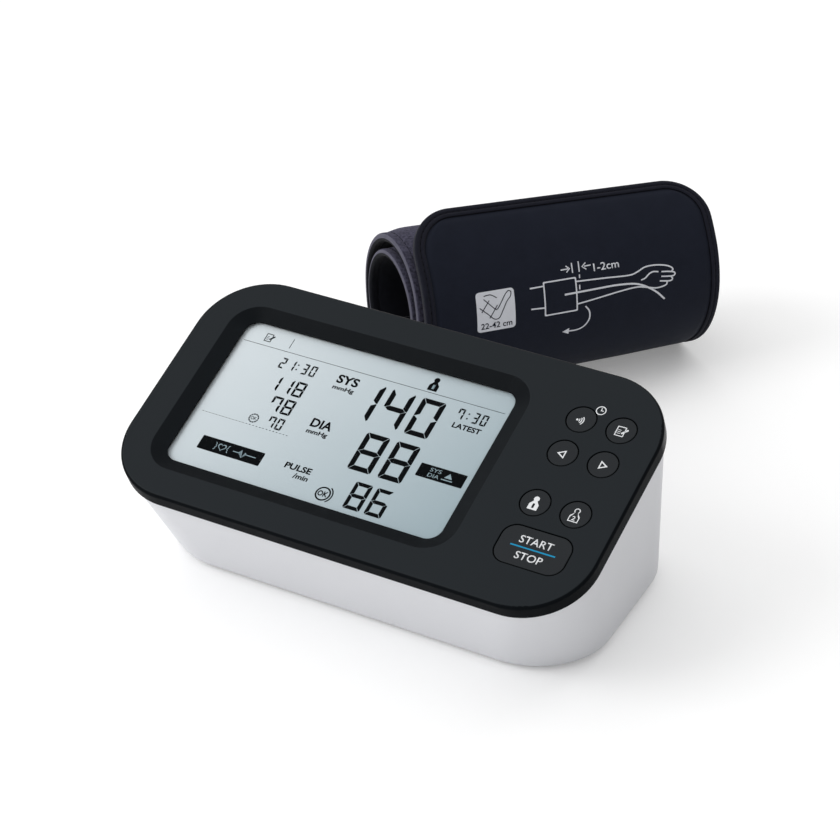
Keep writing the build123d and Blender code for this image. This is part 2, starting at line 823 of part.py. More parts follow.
def hose(points, radii):
    """A rubber tube with its bore, along straight runs joined by bends."""
    path = FilletPolyline(*points, radius=radii) if len(points) > 2 else Line(*points)
    section = Plane(origin=points[0], z_dir=path % 0)
    wall = section * (Circle(hose_radius) - Circle(nipple_radius + 0.05))
    return sweep(wall, path)


def air_hoses():
    """Rubber tubes: pump to manifold, manifold to valve, manifold to pressure sensor."""
    end_x = manifold_x + manifold_size
    pump_run = [(head_end + 0.6, pump_y, hose_z), (head_end + hose_reach, pump_y, hose_z),
                (head_end + hose_reach, pump_y - hose_first_side, hose_z + hose_rise),
                (head_end - hose_back, pump_y - hose_second_side, hose_z + hose_rise),
                (hose_turn_x, jack_y, jack_z), (end_x + 0.6, jack_y, jack_z)]
    valve_run = [(end_x + 0.6, pump_y, valve_z), (valve_x - 0.6, pump_y, valve_z)]
    x = manifold_x + manifold_size / 2
    top = jack_z + manifold_size / 2
    sensor_run = [(x, sensor_y, top + 0.6), (x, sensor_y, sensor_nipple_z() + nipple_length - 0.6)]
    return [hose(pump_run, hose_bend), hose(valve_run, 0), hose(sensor_run, 0)]


def sensor_nipple_z():
    """Height of the end of the sensor's nipple."""
    return panel_z(sensor_y, board_depth + board_thickness) - 14.0


def pressure_sensor():
    """Sensor block hung from the board, its nipple pointing down to the manifold."""
    x = manifold_x + manifold_size / 2
    y = sensor_y
    top = panel_z(y - 6, board_depth + board_thickness)
    bottom = sensor_nipple_z() + nipple_length
    body = block((x - 6, y - 6, bottom), (x + 6, y + 6, panel_height + panel_length / 2))
    cut = extrude(PANEL.offset(-board_depth - board_thickness) * Rectangle(2 * panel_width, 2 * panel_length),
                  amount=panel_length)
    body -= cut
    stem = rod((x, y, bottom - nipple_length), (x, y, min(bottom + 1, top)), nipple_radius)
    return (body + stem) - rod((x, y, bottom - nipple_length - 1), (x, y, bottom + 3), nipple_bore)


# ---------------------------------------------------------------- sockets
def air_jack():
    """Socket for the cuff's air plug in the left wall."""
    body = rod((jack_face, jack_y, jack_z), (jack_face + jack_length, jack_y, jack_z), jack_radius)
    body = fillet(body.edges().group_by(Axis.X)[0], 0.4)
    collar_x = jack_face + jack_collar_place
    body += rod((collar_x, jack_y, jack_z), (collar_x + jack_collar, jack_y, jack_z), jack_radius + 1.6)
    body -= rod((jack_face - 1, jack_y, jack_z), (jack_face + jack_bore_depth, jack_y, jack_z), jack_bore)
    return body - rod((jack_face, jack_y, jack_z), (jack_face + jack_length + 1, jack_y, jack_z), nipple_bore)


def air_jack_bracket():
    """Cradle behind the wall that keeps the air socket in place."""
    x = jack_face + jack_collar_place + jack_collar + 0.2
    half = jack_radius + 1.4
    cradle = block((x, jack_y - half, floor_top - 0.5), (x + 3, jack_y + half, jack_z))
    return cradle - rod((x - 1, jack_y, jack_z), (x + 4, jack_y, jack_z), jack_radius + jack_clearance)


def power_face():
    """y of the power socket's mouth: just inside the sloping back wall."""
    top_y = (panel_length / 2) * cos(TILT) + cover_depth * sin(TILT)
    rise = panel_z(0) + panel_length / 2 * sin(TILT)
    lean = (base_back - top_y) / rise
    return base_back - (power_z + power_body / 2) * lean - housing_wall - 0.4


def power_jack():
    """Low-voltage power socket behind the back wall."""
    half = power_body / 2
    mouth = power_face()
    body = block((power_x - half, mouth - power_length, power_z - half), (power_x + half, mouth, power_z + half))
    body = fillet(body.edges().filter_by(Axis.Y), 1.0)
    body -= rod((power_x, mouth - power_bore_depth, power_z), (power_x, mouth + 1, power_z), power_bore)
    return body + rod((power_x, mouth - power_bore_depth - 1, power_z), (power_x, mouth - 1, power_z), power_pin_radius)


def power_bracket():
    """Shelf on the floor under the power socket."""
    half = power_body / 2
    mouth = power_face()
    shelf_top = power_z - half
    shelf = block((power_x - half, mouth - power_length, floor_top - 0.5), (power_x + half, mouth - 2, shelf_top))
    return shelf


# ---------------------------------------------------------------- cuff
stand_off_radius = stand_off_share * flap_radius
hinge_angle = under_angle + hinge_rise_angle
strap_end_angle = roll_angle - 180 * half_turns + last_trim_angle


def roll_scale(s):
    """Size of the roll's section at a distance along it."""
    return 1 - (1 - cuff_narrowing) * s / cuff_width


def section_plane(s):
    """Upright plane across the roll: x to the front, y up."""
    return Plane(origin=(s, 0, 0), x_dir=(0, -1, 0), z_dir=(-1, 0, 0))


def moved(centre, distance, angle):
    """The point a distance away from a centre, at an angle in degrees."""
    return centre[0] + distance * cos(radians(angle)), centre[1] + distance * sin(radians(angle))


def roll_arcs():
    """Tangent arcs of the wrap's outer face, from the flap's free edge inwards: centre, radius, start, end."""
    radii = [stand_off_radius, flap_radius, under_share * flap_radius, back_share * flap_radius]
    ends = [flap_break_angle, under_angle, back_angle, roll_angle]
    for i in range(half_turns):
        radii.append(roll_share * flap_radius - i * cuff_pitch / 2)
        ends.append(roll_angle - 180 * (i + 1))
    centre = moved((0, flap_radius), flap_radius - stand_off_radius, flap_break_angle)
    start = flap_edge_angle
    arcs = []
    for i, end in enumerate(ends):
        arcs.append((centre, radii[i], start, end))
        if i + 1 < len(ends):
            centre = moved(centre, radii[i] - radii[i + 1], end)
        start = end
    return arcs


def clipped_arcs(start, end):
    """The wrap's arcs between two angles, counted on from the free edge and running inwards."""
    kept = []
    for centre, radius, first, last in roll_arcs():
        if first > end and last < start:
            kept.append((centre, radius, min(first, start), max(last, end)))
    return kept


def arc_chain(depth, start, end):
    """Joined arcs at a depth under the outer face, between two angles."""
    return [CenterArc((*centre, 0), radius - depth, first, last - first)
            for centre, radius, first, last in clipped_arcs(start, end)]


def wrap_section(outer_depth, inner_depth, start, end):
    """Face of a strip of the roll between two depths and two angles."""
    outer = arc_chain(outer_depth, start, end)
    inner = arc_chain(inner_depth, start, end)
    ends = [Line(outer[0] @ 0, inner[0] @ 0), Line(outer[-1] @ 1, inner[-1] @ 1)]
    return make_face([*outer, *inner, *ends])


def wrap(outer_depth, inner_depth, start, end, s0=0.0, s1=cuff_width):
    """Strip of the roll from s0 to s1, narrowing as the roll does."""
    face = wrap_section(outer_depth, inner_depth, start, end)
    near = section_plane(s0).location * scale(face, roll_scale(s0))
    far = section_plane(s1).location * scale(face, roll_scale(s1))
    return loft([near.face(), far.face()], ruled=True)


def cuff_strap():
    """Loop-faced sleeve rolled two turns, hollow where the bladder and the curler lie."""
    sleeve = wrap(0, cuff_thickness, hinge_angle, strap_end_angle)
    pocket_depth = cloth_thickness + bladder_thickness + curler_thickness + 3 * ply_gap
    pocket = wrap(cloth_thickness, pocket_depth, back_angle - ply_start_angle, strap_end_angle + ply_end_angle,
                  ply_margin - ply_play, cuff_width - ply_margin + ply_play)
    return sleeve - pocket - port_hole(cloth_thickness)


def cuff_ply(depth, thickness):
    """One sheet inside the sleeve."""
    start = back_angle - ply_start_angle - ply_trim_angle
    end = strap_end_angle + ply_end_angle + ply_trim_angle
    return wrap(depth, depth + thickness, start, end, ply_margin, cuff_width - ply_margin)


def cuff_curler():
    """Springy plastic sheet that keeps the cuff rolled."""
    depth = cloth_thickness + ply_gap
    return cuff_ply(depth, curler_thickness) - port_hole(depth + curler_thickness)


def cuff_bladder():
    """Air bladder on the arm's side of the curler."""
    return cuff_ply(cloth_thickness + curler_thickness + 2 * ply_gap, bladder_thickness)


def flap_angle(run):
    """Angle at a distance along the flap's outer face from its free edge."""
    angle = flap_edge_angle - arc_angle(run, stand_off_radius)
    if angle >= flap_break_angle:
        return angle
    past = run - radians(flap_edge_angle - flap_break_angle) * stand_off_radius
    return flap_break_angle - arc_angle(past, flap_radius)


def free_edge(s):
    """Point on the flap's free edge at a distance along the roll."""
    centre, radius, start, end = roll_arcs()[0]
    e, h = moved(centre, radius, start)
    return s, -roll_scale(s) * e, roll_scale(s) * h


def corner_cutters(inset):
    """Prisms square to the cloth that round the flap's two free corners, drawn in by an inset."""
    near, far = free_edge(0), free_edge(cuff_width)
    along = [b - a for a, b in zip(near, far)]
    lean = radians(flap_angle(flap_corner / 2))
    reach = 2 * cuff_thickness
    cutters = []
    for corner, side in ((near, 1), (far, -1)):
        plane = Plane(origin=corner, x_dir=along, z_dir=(0, -cos(lean), sin(lean)))
        middle = (side * flap_corner, -flap_corner)
        outside = -side * cuff_thickness
        prism = block((min(outside, middle[0]), middle[1], -reach), (max(outside, middle[0]), reach, reach))
        cutters.append(plane.location * (prism - disc(flap_corner - inset, reach, -reach, middle)))
    return cutters


def flap_form(inset, outer_depth, inner_depth):
    """The flap's wrap from the hinge up to its free edge, drawn in by an inset, corners rounded."""
    first = hinge_angle + arc_angle(hinge_gap, flap_radius)
    form = wrap(outer_depth, inner_depth, flap_angle(inset), first, inset, cuff_width - inset)
    for cutter in corner_cutters(inset):
        form -= cutter
    return form


def flap_panel():
    """Printed outer panel of the flap."""
    return flap_form(binding_width, binding_proud, cuff_thickness - binding_proud)


def flap_binding():
    """Tape sewn round the flap's free edge and both sides."""
    return flap_form(0, 0, cuff_thickness) - flap_form(binding_width, -1, cuff_thickness + 1)


def hook_patch():
    """Hook tape on the inside of the flap, near its free edge."""
    margin = (cuff_width - patch_width) / 2
    depth = cuff_thickness - binding_proud + ply_gap
    return wrap(depth, depth + patch_thickness, flap_angle(patch_margin),
                flap_angle(patch_margin + patch_length), margin, cuff_width - margin)


def port_frame():
    """Frame on the back of the roll with z pointing out of it."""
    centre, radius, start, end = clipped_arcs(port_angle + 1, port_angle - 1)[0]
    e, h = moved(centre, radius, port_angle)
    k = roll_scale(port_s)
    lean = radians(port_angle)
    return Plane(origin=(port_s, -k * e, k * h), x_dir=(1, 0, 0), z_dir=(0, -cos(lean), sin(lean)))


def port_hole(depth):
    """Hole for the port's stem, down to a depth under the roll's outer face."""
    return port_frame().location * disc(port_stem_radius + ply_gap, 1, -depth - port_sag)


def port_air_way():
    """The tube's bore and the narrower passage from it into the bladder."""
    bore = disc(port_bore, port_height + 1, port_bore_floor)
    return port_frame().location * (bore + disc(port_passage_radius, port_height, -port_height))


def cuff_port():
    """Air port: a flange shaped to the back of the roll and a stem welded to the bladder."""
    bladder_depth = cloth_thickness + curler_thickness + 2 * ply_gap
    flange = port_frame().location * disc(port_flange_radius, port_flange_thickness, -port_flange_thickness)
    flange -= wrap(0, cuff_thickness, back_angle, roll_angle)
    stub = disc(port_radius, port_height, port_flange_thickness / 2)
    stub = fillet(stub.edges().group_by(Axis.Z)[-1], 0.8)
    stub += disc(port_stem_radius, port_height / 2, -bladder_depth - port_sag)
    stem = port_frame().location * stub - wrap(bladder_depth, bladder_depth + 2 * port_sag, back_angle, roll_angle)
    return flange + stem - port_air_way()


# ---------------------------------------------------------------- write every piece
def main():
    """Build and save the whole product."""
    save("top_cover", top_cover())
    save("display_lens", on_panel(display_lens()))
    save("lcd_glass", on_panel(lcd_glass()))
    save("lcd_reflector", on_panel(lcd_reflector()))
    save("lcd_holder", on_panel(lcd_holder()))
    for name, at in button_places.items():
        save(name, on_panel(round_button(at)))
    save("button_start_stop", on_panel(start_button()))
    save("keypad_mat", on_panel(keypad_mat()) - posts(post_radius + post_notch, 0, 0))
    save("main_board", main_board())
    save("board_chips", on_panel(Compound(children=board_chips())))
    save("board_screws", on_panel(Compound(children=board_screws())))
    save("lower_housing", lower_housing())
    save("battery_door", battery_door())
    save("battery_cells", Compound(children=battery_cells()))
    save("battery_contacts", Compound(children=battery_contacts()))
    save("rubber_feet", Compound(children=rubber_feet()))
    save("case_screws", Compound(children=case_screws()))
    save("pump_motor", pump_motor())
    save("pump_head", pump_head())
    save("pump_rotor", pump_rotor())
    save("pump_cradles", Compound(children=pump_cradles()))
    save("valve_body", valve_body())
    save("valve_plunger", valve_plunger())
    save("air_manifold", air_manifold())
    save("air_hoses", Compound(children=air_hoses()))
    save("pressure_sensor", pressure_sensor())
    save("air_jack", air_jack())
    save("power_jack", power_jack())
    save("cuff_strap", CUFF * cuff_strap())
    save("cuff_curler", CUFF * cuff_curler())
    save("cuff_bladder", CUFF * cuff_bladder())
    save("cuff_port", CUFF * cuff_port())
    save("flap_panel", CUFF * flap_panel())
    save("flap_binding", CUFF * flap_binding())
    save("hook_patch", CUFF * hook_patch())


main()
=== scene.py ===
import math
from collections import namedtuple

import bmesh
import bpy
import numpy as np
from bpy.props import FloatProperty, FloatVectorProperty, IntProperty, PointerProperty
from mathutils import Euler, Matrix, Vector
from mathutils.bvhtree import BVHTree


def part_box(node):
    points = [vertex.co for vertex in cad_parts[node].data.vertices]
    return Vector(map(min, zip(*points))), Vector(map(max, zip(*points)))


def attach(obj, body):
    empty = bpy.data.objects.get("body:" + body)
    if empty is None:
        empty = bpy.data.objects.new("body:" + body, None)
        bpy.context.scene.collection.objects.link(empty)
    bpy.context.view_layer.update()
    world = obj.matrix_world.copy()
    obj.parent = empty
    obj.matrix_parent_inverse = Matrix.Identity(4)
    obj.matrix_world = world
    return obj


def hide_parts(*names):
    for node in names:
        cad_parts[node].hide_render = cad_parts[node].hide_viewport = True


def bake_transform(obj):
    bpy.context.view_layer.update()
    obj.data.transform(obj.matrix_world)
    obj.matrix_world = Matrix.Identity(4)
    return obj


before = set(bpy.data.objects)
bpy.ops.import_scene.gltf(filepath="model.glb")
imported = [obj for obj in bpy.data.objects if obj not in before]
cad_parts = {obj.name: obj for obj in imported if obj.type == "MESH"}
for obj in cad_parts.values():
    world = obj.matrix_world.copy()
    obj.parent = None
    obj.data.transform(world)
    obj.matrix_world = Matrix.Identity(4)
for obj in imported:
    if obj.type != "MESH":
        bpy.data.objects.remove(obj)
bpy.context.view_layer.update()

bl_info = {
    "name": "Blood pressure monitor",
    "version": (1, 0, 0),
    "blender": (4, 5, 0),
    "location": "3D View > Sidebar > Monitor",
    "description": "Finishes, prints, cloth and stage for the desktop blood pressure monitor "
                   "and its arm cuff",
    "category": "Object",
}

# Metres in a millimetre. Bare lengths in this file are in millimetres.
MM = 0.001


def rgb(red, green, blue):
    """A colour written as 0 to 255, as Blender's linear values."""
    def linear(value):
        share = value / 255
        return share / 12.92 if share <= 0.04045 else ((share + 0.055) / 1.055) ** 2.4
    return linear(red), linear(green), linear(blue)


def size(name, description, millimetres):
    """A length that can be changed in the sidebar."""
    return FloatProperty(name=name, description=description, default=millimetres * MM, precision=5,
                         subtype="DISTANCE", unit="LENGTH")


def place(name, description, millimetres):
    """A point that can be changed in the sidebar."""
    return FloatVectorProperty(name=name, description=description, size=3, precision=5,
                               default=[value * MM for value in millimetres],
                               subtype="TRANSLATION", unit="LENGTH")


def turn(name, description, degrees):
    """An angle that can be changed in the sidebar."""
    return FloatProperty(name=name, description=description, default=math.radians(degrees),
                         subtype="ANGLE", unit="ROTATION")


def tint(name, description, red, green, blue):
    """A colour that can be changed in the sidebar."""
    return FloatVectorProperty(name=name, description=description, size=3, min=0, max=1,
                               default=rgb(red, green, blue), subtype="COLOR")


class MonitorSettings(bpy.types.PropertyGroup):
    """Where the control panel lies and what the monitor's plastics and prints look like."""
    panel_centre: place("Panel centre", "Middle of the control panel's face", (0.0, -100.88, 62.7))
    panel_tilt: turn("Panel tilt", "How far the control panel leans back", 25.8)
    lcd_depth: size("Display depth", "Panel face to the front of the liquid crystal glass", 4.0)
    print_height: size("Print height", "Thickness of printed ink", 0.03)
    fascia: tint("Fascia", "Black plastic of the cover", 25, 30, 34)
    # Painted shade: the darker colour that the cover's slopes and skirt take, where less light falls on them.
    fascia_painted_shade: tint("Fascia rim", "Slopes and skirt of the cover", 11, 14, 17)
    keys: tint("Keys", "Black plastic of the keys", 34, 37, 40)
    housing: tint("Housing", "White plastic of the lower part", 228, 229, 233)
    display: tint("Display", "Liquid crystal glass with nothing shown", 143, 163, 171)
    # Painted light: the colour that the display brightens to towards one corner.
    display_painted_light: tint("Display, lit", "The display's brighter corner", 215, 223, 227)
    ink: tint("Segments", "Dark segments of the display", 9, 11, 13)
    grey_ink: tint("Faint segments", "Segments that the display shows faintly", 40, 45, 49)
    legend: tint("Legends", "White print on the keys", 226, 228, 230)
    line: tint("Start line", "Blue line on the start key", 38, 142, 184)


class CuffSettings(bpy.types.PropertyGroup):
    """Size, place and cloth of the rolled cuff."""
    left_end: place("Left end", "Table under the middle of the roll's left end", (-75.0, 27.22, 0.0))
    heading: turn("Heading", "From +X to the roll's axis", 53.0)
    width: size("Width", "Length of the roll", 133.7)
    narrowing: FloatProperty(name="Narrowing", description="Size of the far end, as a share of the near end",
                             default=0.923)
    radius: size("Radius", "Outer face of the flap where it follows the roll", 42.4)
    pitch: size("Pitch", "One turn to the next", 5.2)
    thickness: size("Thickness", "Padded cloth, outside to inside", 4.0)
    seam: turn("Free edge", "Angle of the flap's free edge, from the front up", 54.0)
    hinge: turn("Hinge", "Angle at which the flap peels off", -64.0)
    last: turn("Inner end", "Angle at which the innermost turn ends", -860.0)
    turns: IntProperty(name="Half turns", description="Half turns inside the flap", default=4)
    corner: size("Corner", "Round of the flap's two free corners", 19.4)
    binding_width: size("Binding", "Width of the tape round the flap", 4.2)
    loop_cloth: tint("Loop cloth", "Brushed cloth of the roll", 55, 54, 67)
    flap_cloth: tint("Flap cloth", "Coated cloth of the flap", 31, 34, 44)
    lining: tint("Lining", "Cloth on the arm's side", 17, 18, 23)
    tape: tint("Tape", "Binding tape", 28, 29, 38)
    # Painted highlight: the light line along the roll's sewn edges, where they catch the light.
    edge: tint("Edge", "Cut edge and piping of the cloth", 88, 87, 100)
    thread: tint("Thread", "Sewing thread", 34, 34, 41)
    flap_print: tint("Flap print", "Light print on the flap", 222, 224, 230)


class StudioSettings(bpy.types.PropertyGroup):
    """Camera, floor and lamps."""
    camera_place: place("Camera", "Where the camera stands", (406.79, -792.76, 525.74))
    camera_turn: FloatVectorProperty(name="Camera turn", description="Camera's rotation", size=3,
                                     default=[math.radians(value) for value in (60.3683, -0.4681, 29.8554)],
                                     subtype="EULER", unit="ROTATION")
    lens: FloatProperty(name="Lens", description="Focal length on a 36 mm wide sensor, in millimetres",
                        default=111.729)
    floor_size: size("Floor", "Side of the square floor", 12000.0)
    floor: tint("Floor colour", "Pale floor", 236, 236, 236)
    floor_glow: FloatProperty(name="Floor glow", description="White added to the floor as the camera sees it",
                              default=0.22)
    ambient: FloatProperty(name="Ambient", description="Strength of the soft light from all round",
                           default=0.95)
    ambient_lean: FloatVectorProperty(name="Ambient side", description="Where the soft light is brightest",
                                      size=3, default=(-0.55, -0.08, 0.83))
    key_light: FloatProperty(name="Key light", default=15.0,
                             description="Power of the large lamp at the front left, in watts")
    back_light: FloatProperty(name="Back light", default=5.0,
                              description="Power of the lamp behind, in watts")


# ---------------------------------------------------------------- materials
def add_node(tree, kind, inputs=None, **settings):
    """A shader node with its settings and inputs. An input is a value or another node's output."""
    node = tree.nodes.new(kind)
    for name, value in settings.items():
        setattr(node, name, value)
    for name, value in (inputs or {}).items():
        if isinstance(value, bpy.types.NodeSocket):
            tree.links.new(value, node.inputs[name])
        else:
            node.inputs[name].default_value = value
    return node


def opaque(colour):
    """A colour with an alpha of one."""
    return (*colour, 1.0)


def shaded(colour, factor):
    """A colour made lighter or darker."""
    return tuple(min(1.0, channel * factor) for channel in colour)


def base_material(name, **constants):
    """A material with its shader's constant sockets set."""
    made = bpy.data.materials.new(name)
    made.use_nodes = True
    shader = made.node_tree.nodes["Principled BSDF"]
    for socket, value in constants.items():
        shader.inputs[socket.replace("_", " ")].default_value = value
    return made, made.node_tree, shader


def object_point(tree):
    """Place on the object, in metres."""
    return add_node(tree, "ShaderNodeTexCoord").outputs["Object"]


def times(tree, vector, factors):
    """A vector with each of its parts multiplied."""
    return add_node(tree, "ShaderNodeVectorMath", {0: vector, 1: factors}, operation="MULTIPLY").outputs[0]


def reach_along(tree, vector, direction):
    """How far a vector reaches along a direction."""
    return add_node(tree, "ShaderNodeVectorMath", {0: vector, 1: direction},
                    operation="DOT_PRODUCT").outputs["Value"]


def maths(tree, operation, *values):
    """The result of one sum on values or other nodes' outputs."""
    return add_node(tree, "ShaderNodeMath", dict(enumerate(values)), operation=operation).outputs[0]


def cloth_point(tree, along, across):
    """Place on the cloth laid out flat, scaled along and across it."""
    return times(tree, add_node(tree, "ShaderNodeTexCoord").outputs["UV"], (along, across, 1.0))


def noise(tree, point, scale, detail=2.0, roughness=0.5):
    """Noise between 0 and 1."""
    return add_node(tree, "ShaderNodeTexNoise", {"Vector": point, "Scale": scale, "Detail": detail,
                                                 "Roughness": roughness}).outputs["Fac"]


def ranged(tree, value, low, high, new_low=0.0, new_high=1.0, ease="LINEAR"):
    """A value from low to high taken to another range, and held at that range's ends."""
    ends = {"From Min": low, "From Max": high, "To Min": new_low, "To Max": new_high}
    return add_node(tree, "ShaderNodeMapRange", {"Value": value, **ends},
                    interpolation_type=ease).outputs["Result"]


def spread(tree, value, low, high):
    """A value from 0 to 1 taken to another range."""
    return ranged(tree, value, 0.0, 1.0, low, high)


def mixed(tree, share, first, second, kind):
    """A mix of two values or colours by a share."""
    return add_node(tree, "ShaderNodeMix", {"Factor": share, "A": first, "B": second},
                    data_type=kind).outputs["Result"]


def blend_colours(tree, share, first, second):
    """A mix of two colours by a share. A colour is its three channels or another node's output."""
    ends = [end if isinstance(end, bpy.types.NodeSocket) else opaque(end) for end in (first, second)]
    return mixed(tree, share, *ends, "RGBA")


def varied(tree, share, colour, dark, light):
    """A colour that goes from darker to lighter with a share."""
    return blend_colours(tree, share, shaded(colour, dark), shaded(colour, light))


def bump(tree, height, distance, strength=1.0, below=None):
    """A normal from a height between 0 and 1."""
    inputs = {"Height": height, "Distance": distance, "Strength": strength}
    if below is not None:
        inputs["Normal"] = below
    return add_node(tree, "ShaderNodeBump", inputs).outputs["Normal"]


def wire(tree, shader, **links):
    """Joins node outputs to the shader's sockets."""
    for socket, output in links.items():
        tree.links.new(output, shader.inputs[socket.replace("_", " ")])


def moulded_plastic(name, colour, roughness, grain=0.25, grain_depth=0.004, variation=0.04, shine=0.5):
    """Moulded plastic: fine spark-eroded grain, slight flow marks and handling shine."""
    made, tree, shader = base_material(name, IOR=1.49, Specular_IOR_Level=shine)
    point = object_point(tree)
    fine = noise(tree, point, 1.0 / (grain * MM), 3.0, 0.6)
    flow = noise(tree, point, 38.0, 3.0, 0.55)
    wire(tree, shader,
         Base_Color=varied(tree, flow, colour, 1 - variation, 1 + variation),
         Roughness=spread(tree, noise(tree, point, 210.0, 4.0, 0.6), roughness - 0.05, roughness + 0.06),
         Normal=bump(tree, fine, grain_depth * MM))
    return made


def fascia_plastic(settings):
    """The cover's plastic: satin on the flat panel, with painted shade on its slopes and skirt, shinier at
    the back.
    """
    made = moulded_plastic("fascia_plastic", settings.fascia, roughness=0.42, grain=0.3, grain_depth=0.003,
                           variation=0.03, shine=0.14)
    tree = made.node_tree
    shader = tree.nodes["Principled BSDF"]
    plain = shader.inputs["Base Color"].links[0].from_socket
    tilt = settings.panel_tilt
    normal = add_node(tree, "ShaderNodeNewGeometry").outputs["Normal"]
    facing = reach_along(tree, normal, (0.0, -math.sin(tilt), math.cos(tilt)))
    back = add_node(tree, "ShaderNodeSeparateXYZ", {0: normal}).outputs["Y"]
    polish = ranged(tree, back, 0.1, 0.6, 0.02, 0.55)
    # Painted shade: faces turned away from the panel's face take the darker colour.
    share = ranged(tree, facing, 0.9, 0.99, ease="SMOOTHSTEP")
    wire(tree, shader, Base_Color=blend_colours(tree, share, settings.fascia_painted_shade, plain),
         Specular_IOR_Level=maths(tree, "MAXIMUM", spread(tree, share, 0.02, 0.12), polish))
    return made


def rubber(name, colour):
    """Matt rubber with a pitted skin."""
    made, tree, shader = base_material(name, IOR=1.5, Sheen_Weight=0.15)
    point = object_point(tree)
    pits = noise(tree, point, 3200.0, 2.0, 0.7)
    wire(tree, shader,
         Base_Color=varied(tree, noise(tree, point, 260.0), colour, 0.85, 1.15),
         Roughness=spread(tree, pits, 0.62, 0.85),
         Normal=bump(tree, pits, 0.02 * MM))
    return made


def turned_metal(name, colour, roughness):
    """Plated or drawn metal with fine scratches."""
    made, tree, shader = base_material(name, Metallic=1.0)
    point = object_point(tree)
    scratches = noise(tree, times(tree, point, (300.0, 9000.0, 9000.0)), 1.0, 4.0, 0.6)
    wire(tree, shader,
         Base_Color=varied(tree, noise(tree, point, 500.0), colour, 0.9, 1.08),
         Roughness=spread(tree, scratches, roughness - 0.08, roughness + 0.1),
         Normal=bump(tree, scratches, 0.003 * MM))
    return made


def window_plastic():
    """Clear acrylic window: lets nearly all light through and keeps a faint shine."""
    made, tree, shader = base_material("window_acrylic", Base_Color=(0.03, 0.035, 0.04, 1.0), IOR=1.49,
                                       Alpha=0.012, Specular_IOR_Level=0.1)
    smear = noise(tree, object_point(tree), 45.0, 3.0, 0.6)
    wire(tree, shader, Roughness=spread(tree, smear, 0.03, 0.07))
    return made


def display_glass(settings):
    """Blue-grey liquid crystal with painted light towards one corner, and the reflector's fine grain behind
    it.
    """
    made, tree, shader = base_material("display_glass", IOR=1.3, Specular_IOR_Level=0.25)
    point = object_point(tree)
    # Painted light: the colour grows brighter towards one corner of the display.
    share = ranged(tree, reach_along(tree, point, (-6.2, 2.2, 4.0)), -0.45, 0.6)
    plain = blend_colours(tree, share, settings.display, settings.display_painted_light)
    grain = spread(tree, noise(tree, point, 6500.0, 1.0), 0.975, 1.02)
    speckle = add_node(tree, "ShaderNodeVectorMath", {0: plain, "Scale": grain}, operation="SCALE").outputs[0]
    wire(tree, shader, Base_Color=speckle,
         Roughness=spread(tree, noise(tree, point, 300.0), 0.42, 0.5))
    return made


def printed_ink(name, colour, roughness=0.55):
    """Screen-printed ink, a little uneven."""
    made, tree, shader = base_material(name, IOR=1.45, Specular_IOR_Level=0.02)
    point = object_point(tree)
    cover = noise(tree, point, 2600.0, 3.0, 0.6)
    wire(tree, shader,
         Base_Color=varied(tree, cover, colour, 0.93, 1.04),
         Roughness=spread(tree, cover, roughness - 0.06, roughness + 0.08))
    return made


def weave_height(tree, point):
    """Height of a plain weave whose threads are one unit apart: warp over weft in turn."""
    parts = add_node(tree, "ShaderNodeSeparateXYZ", {0: point}).outputs
    across, along = [maths(tree, "SINE", maths(tree, "MULTIPLY", parts[axis], math.pi)) for axis in "XY"]
    over = maths(tree, "GREATER_THAN", maths(tree, "MULTIPLY", across, along), 0.0)
    return mixed(tree, over, maths(tree, "ABSOLUTE", across), maths(tree, "ABSOLUTE", along), "FLOAT")


def coated_cloth(settings):
    """Tightly woven nylon with a smooth coating, creased a little by being rolled."""
    made, tree, shader = base_material("coated_nylon", IOR=1.45, Sheen_Weight=0.02, Sheen_Roughness=0.45,
                                       Sheen_Tint=(0.55, 0.6, 0.75, 1.0), Specular_IOR_Level=0.035)
    pitch = 0.32 * MM
    weave = weave_height(tree, cloth_point(tree, 1 / pitch, 1 / pitch))
    mottle = noise(tree, object_point(tree), 120.0, 4.0, 0.6)
    crease = noise(tree, cloth_point(tree, 26.0, 75.0), 1.0, 3.0, 0.5)
    wire(tree, shader,
         Base_Color=varied(tree, mottle, settings.flap_cloth, 0.86, 1.16),
         Roughness=spread(tree, mottle, 0.46, 0.58),
         Normal=bump(tree, weave, 0.022 * MM, 0.7, bump(tree, crease, 0.5 * MM, 0.6)))
    return made


def brushed_loop(settings):
    """Brushed loop cloth that hook tape grips: short fuzzy pile."""
    made, tree, shader = base_material("loop_cloth", IOR=1.4, Sheen_Weight=0.12, Sheen_Roughness=0.5,
                                       Sheen_Tint=(0.7, 0.68, 0.85, 1.0), Specular_IOR_Level=0.06)
    point = object_point(tree)
    pile = noise(tree, point, 850.0, 4.0, 0.75)
    loops = add_node(tree, "ShaderNodeTexVoronoi", {"Vector": point, "Scale": 1300.0}).outputs["Distance"]
    patches = noise(tree, point, 90.0, 3.0, 0.6)
    tufts = maths(tree, "MULTIPLY_ADD", patches, 0.25, pile)
    wire(tree, shader,
         Base_Color=varied(tree, ranged(tree, tufts, 0.43, 0.82, ease="SMOOTHSTEP"),
                           settings.loop_cloth, 0.5, 1.75),
         Roughness=spread(tree, pile, 0.85, 1.0),
         Normal=bump(tree, loops, 0.16 * MM, 0.7, bump(tree, pile, 0.18 * MM, 0.8)))
    return made


def woven_cloth(name, colour, pitch, relief, shine):
    """Plain woven cloth or tape. pitch is the distance between threads and relief how far they stand out."""
    made, tree, shader = base_material(name, IOR=1.42, Sheen_Weight=0.05, Sheen_Roughness=0.5,
                                       Specular_IOR_Level=shine)
    weave = weave_height(tree, cloth_point(tree, 1 / (pitch * MM), 1 / (pitch * MM)))
    mottle = noise(tree, object_point(tree), 240.0, 4.0, 0.6)
    wire(tree, shader,
         Base_Color=varied(tree, mottle, colour, 0.8, 1.22),
         Roughness=spread(tree, weave, 0.8, 0.62),
         Normal=bump(tree, weave, relief * MM, 0.8))
    return made


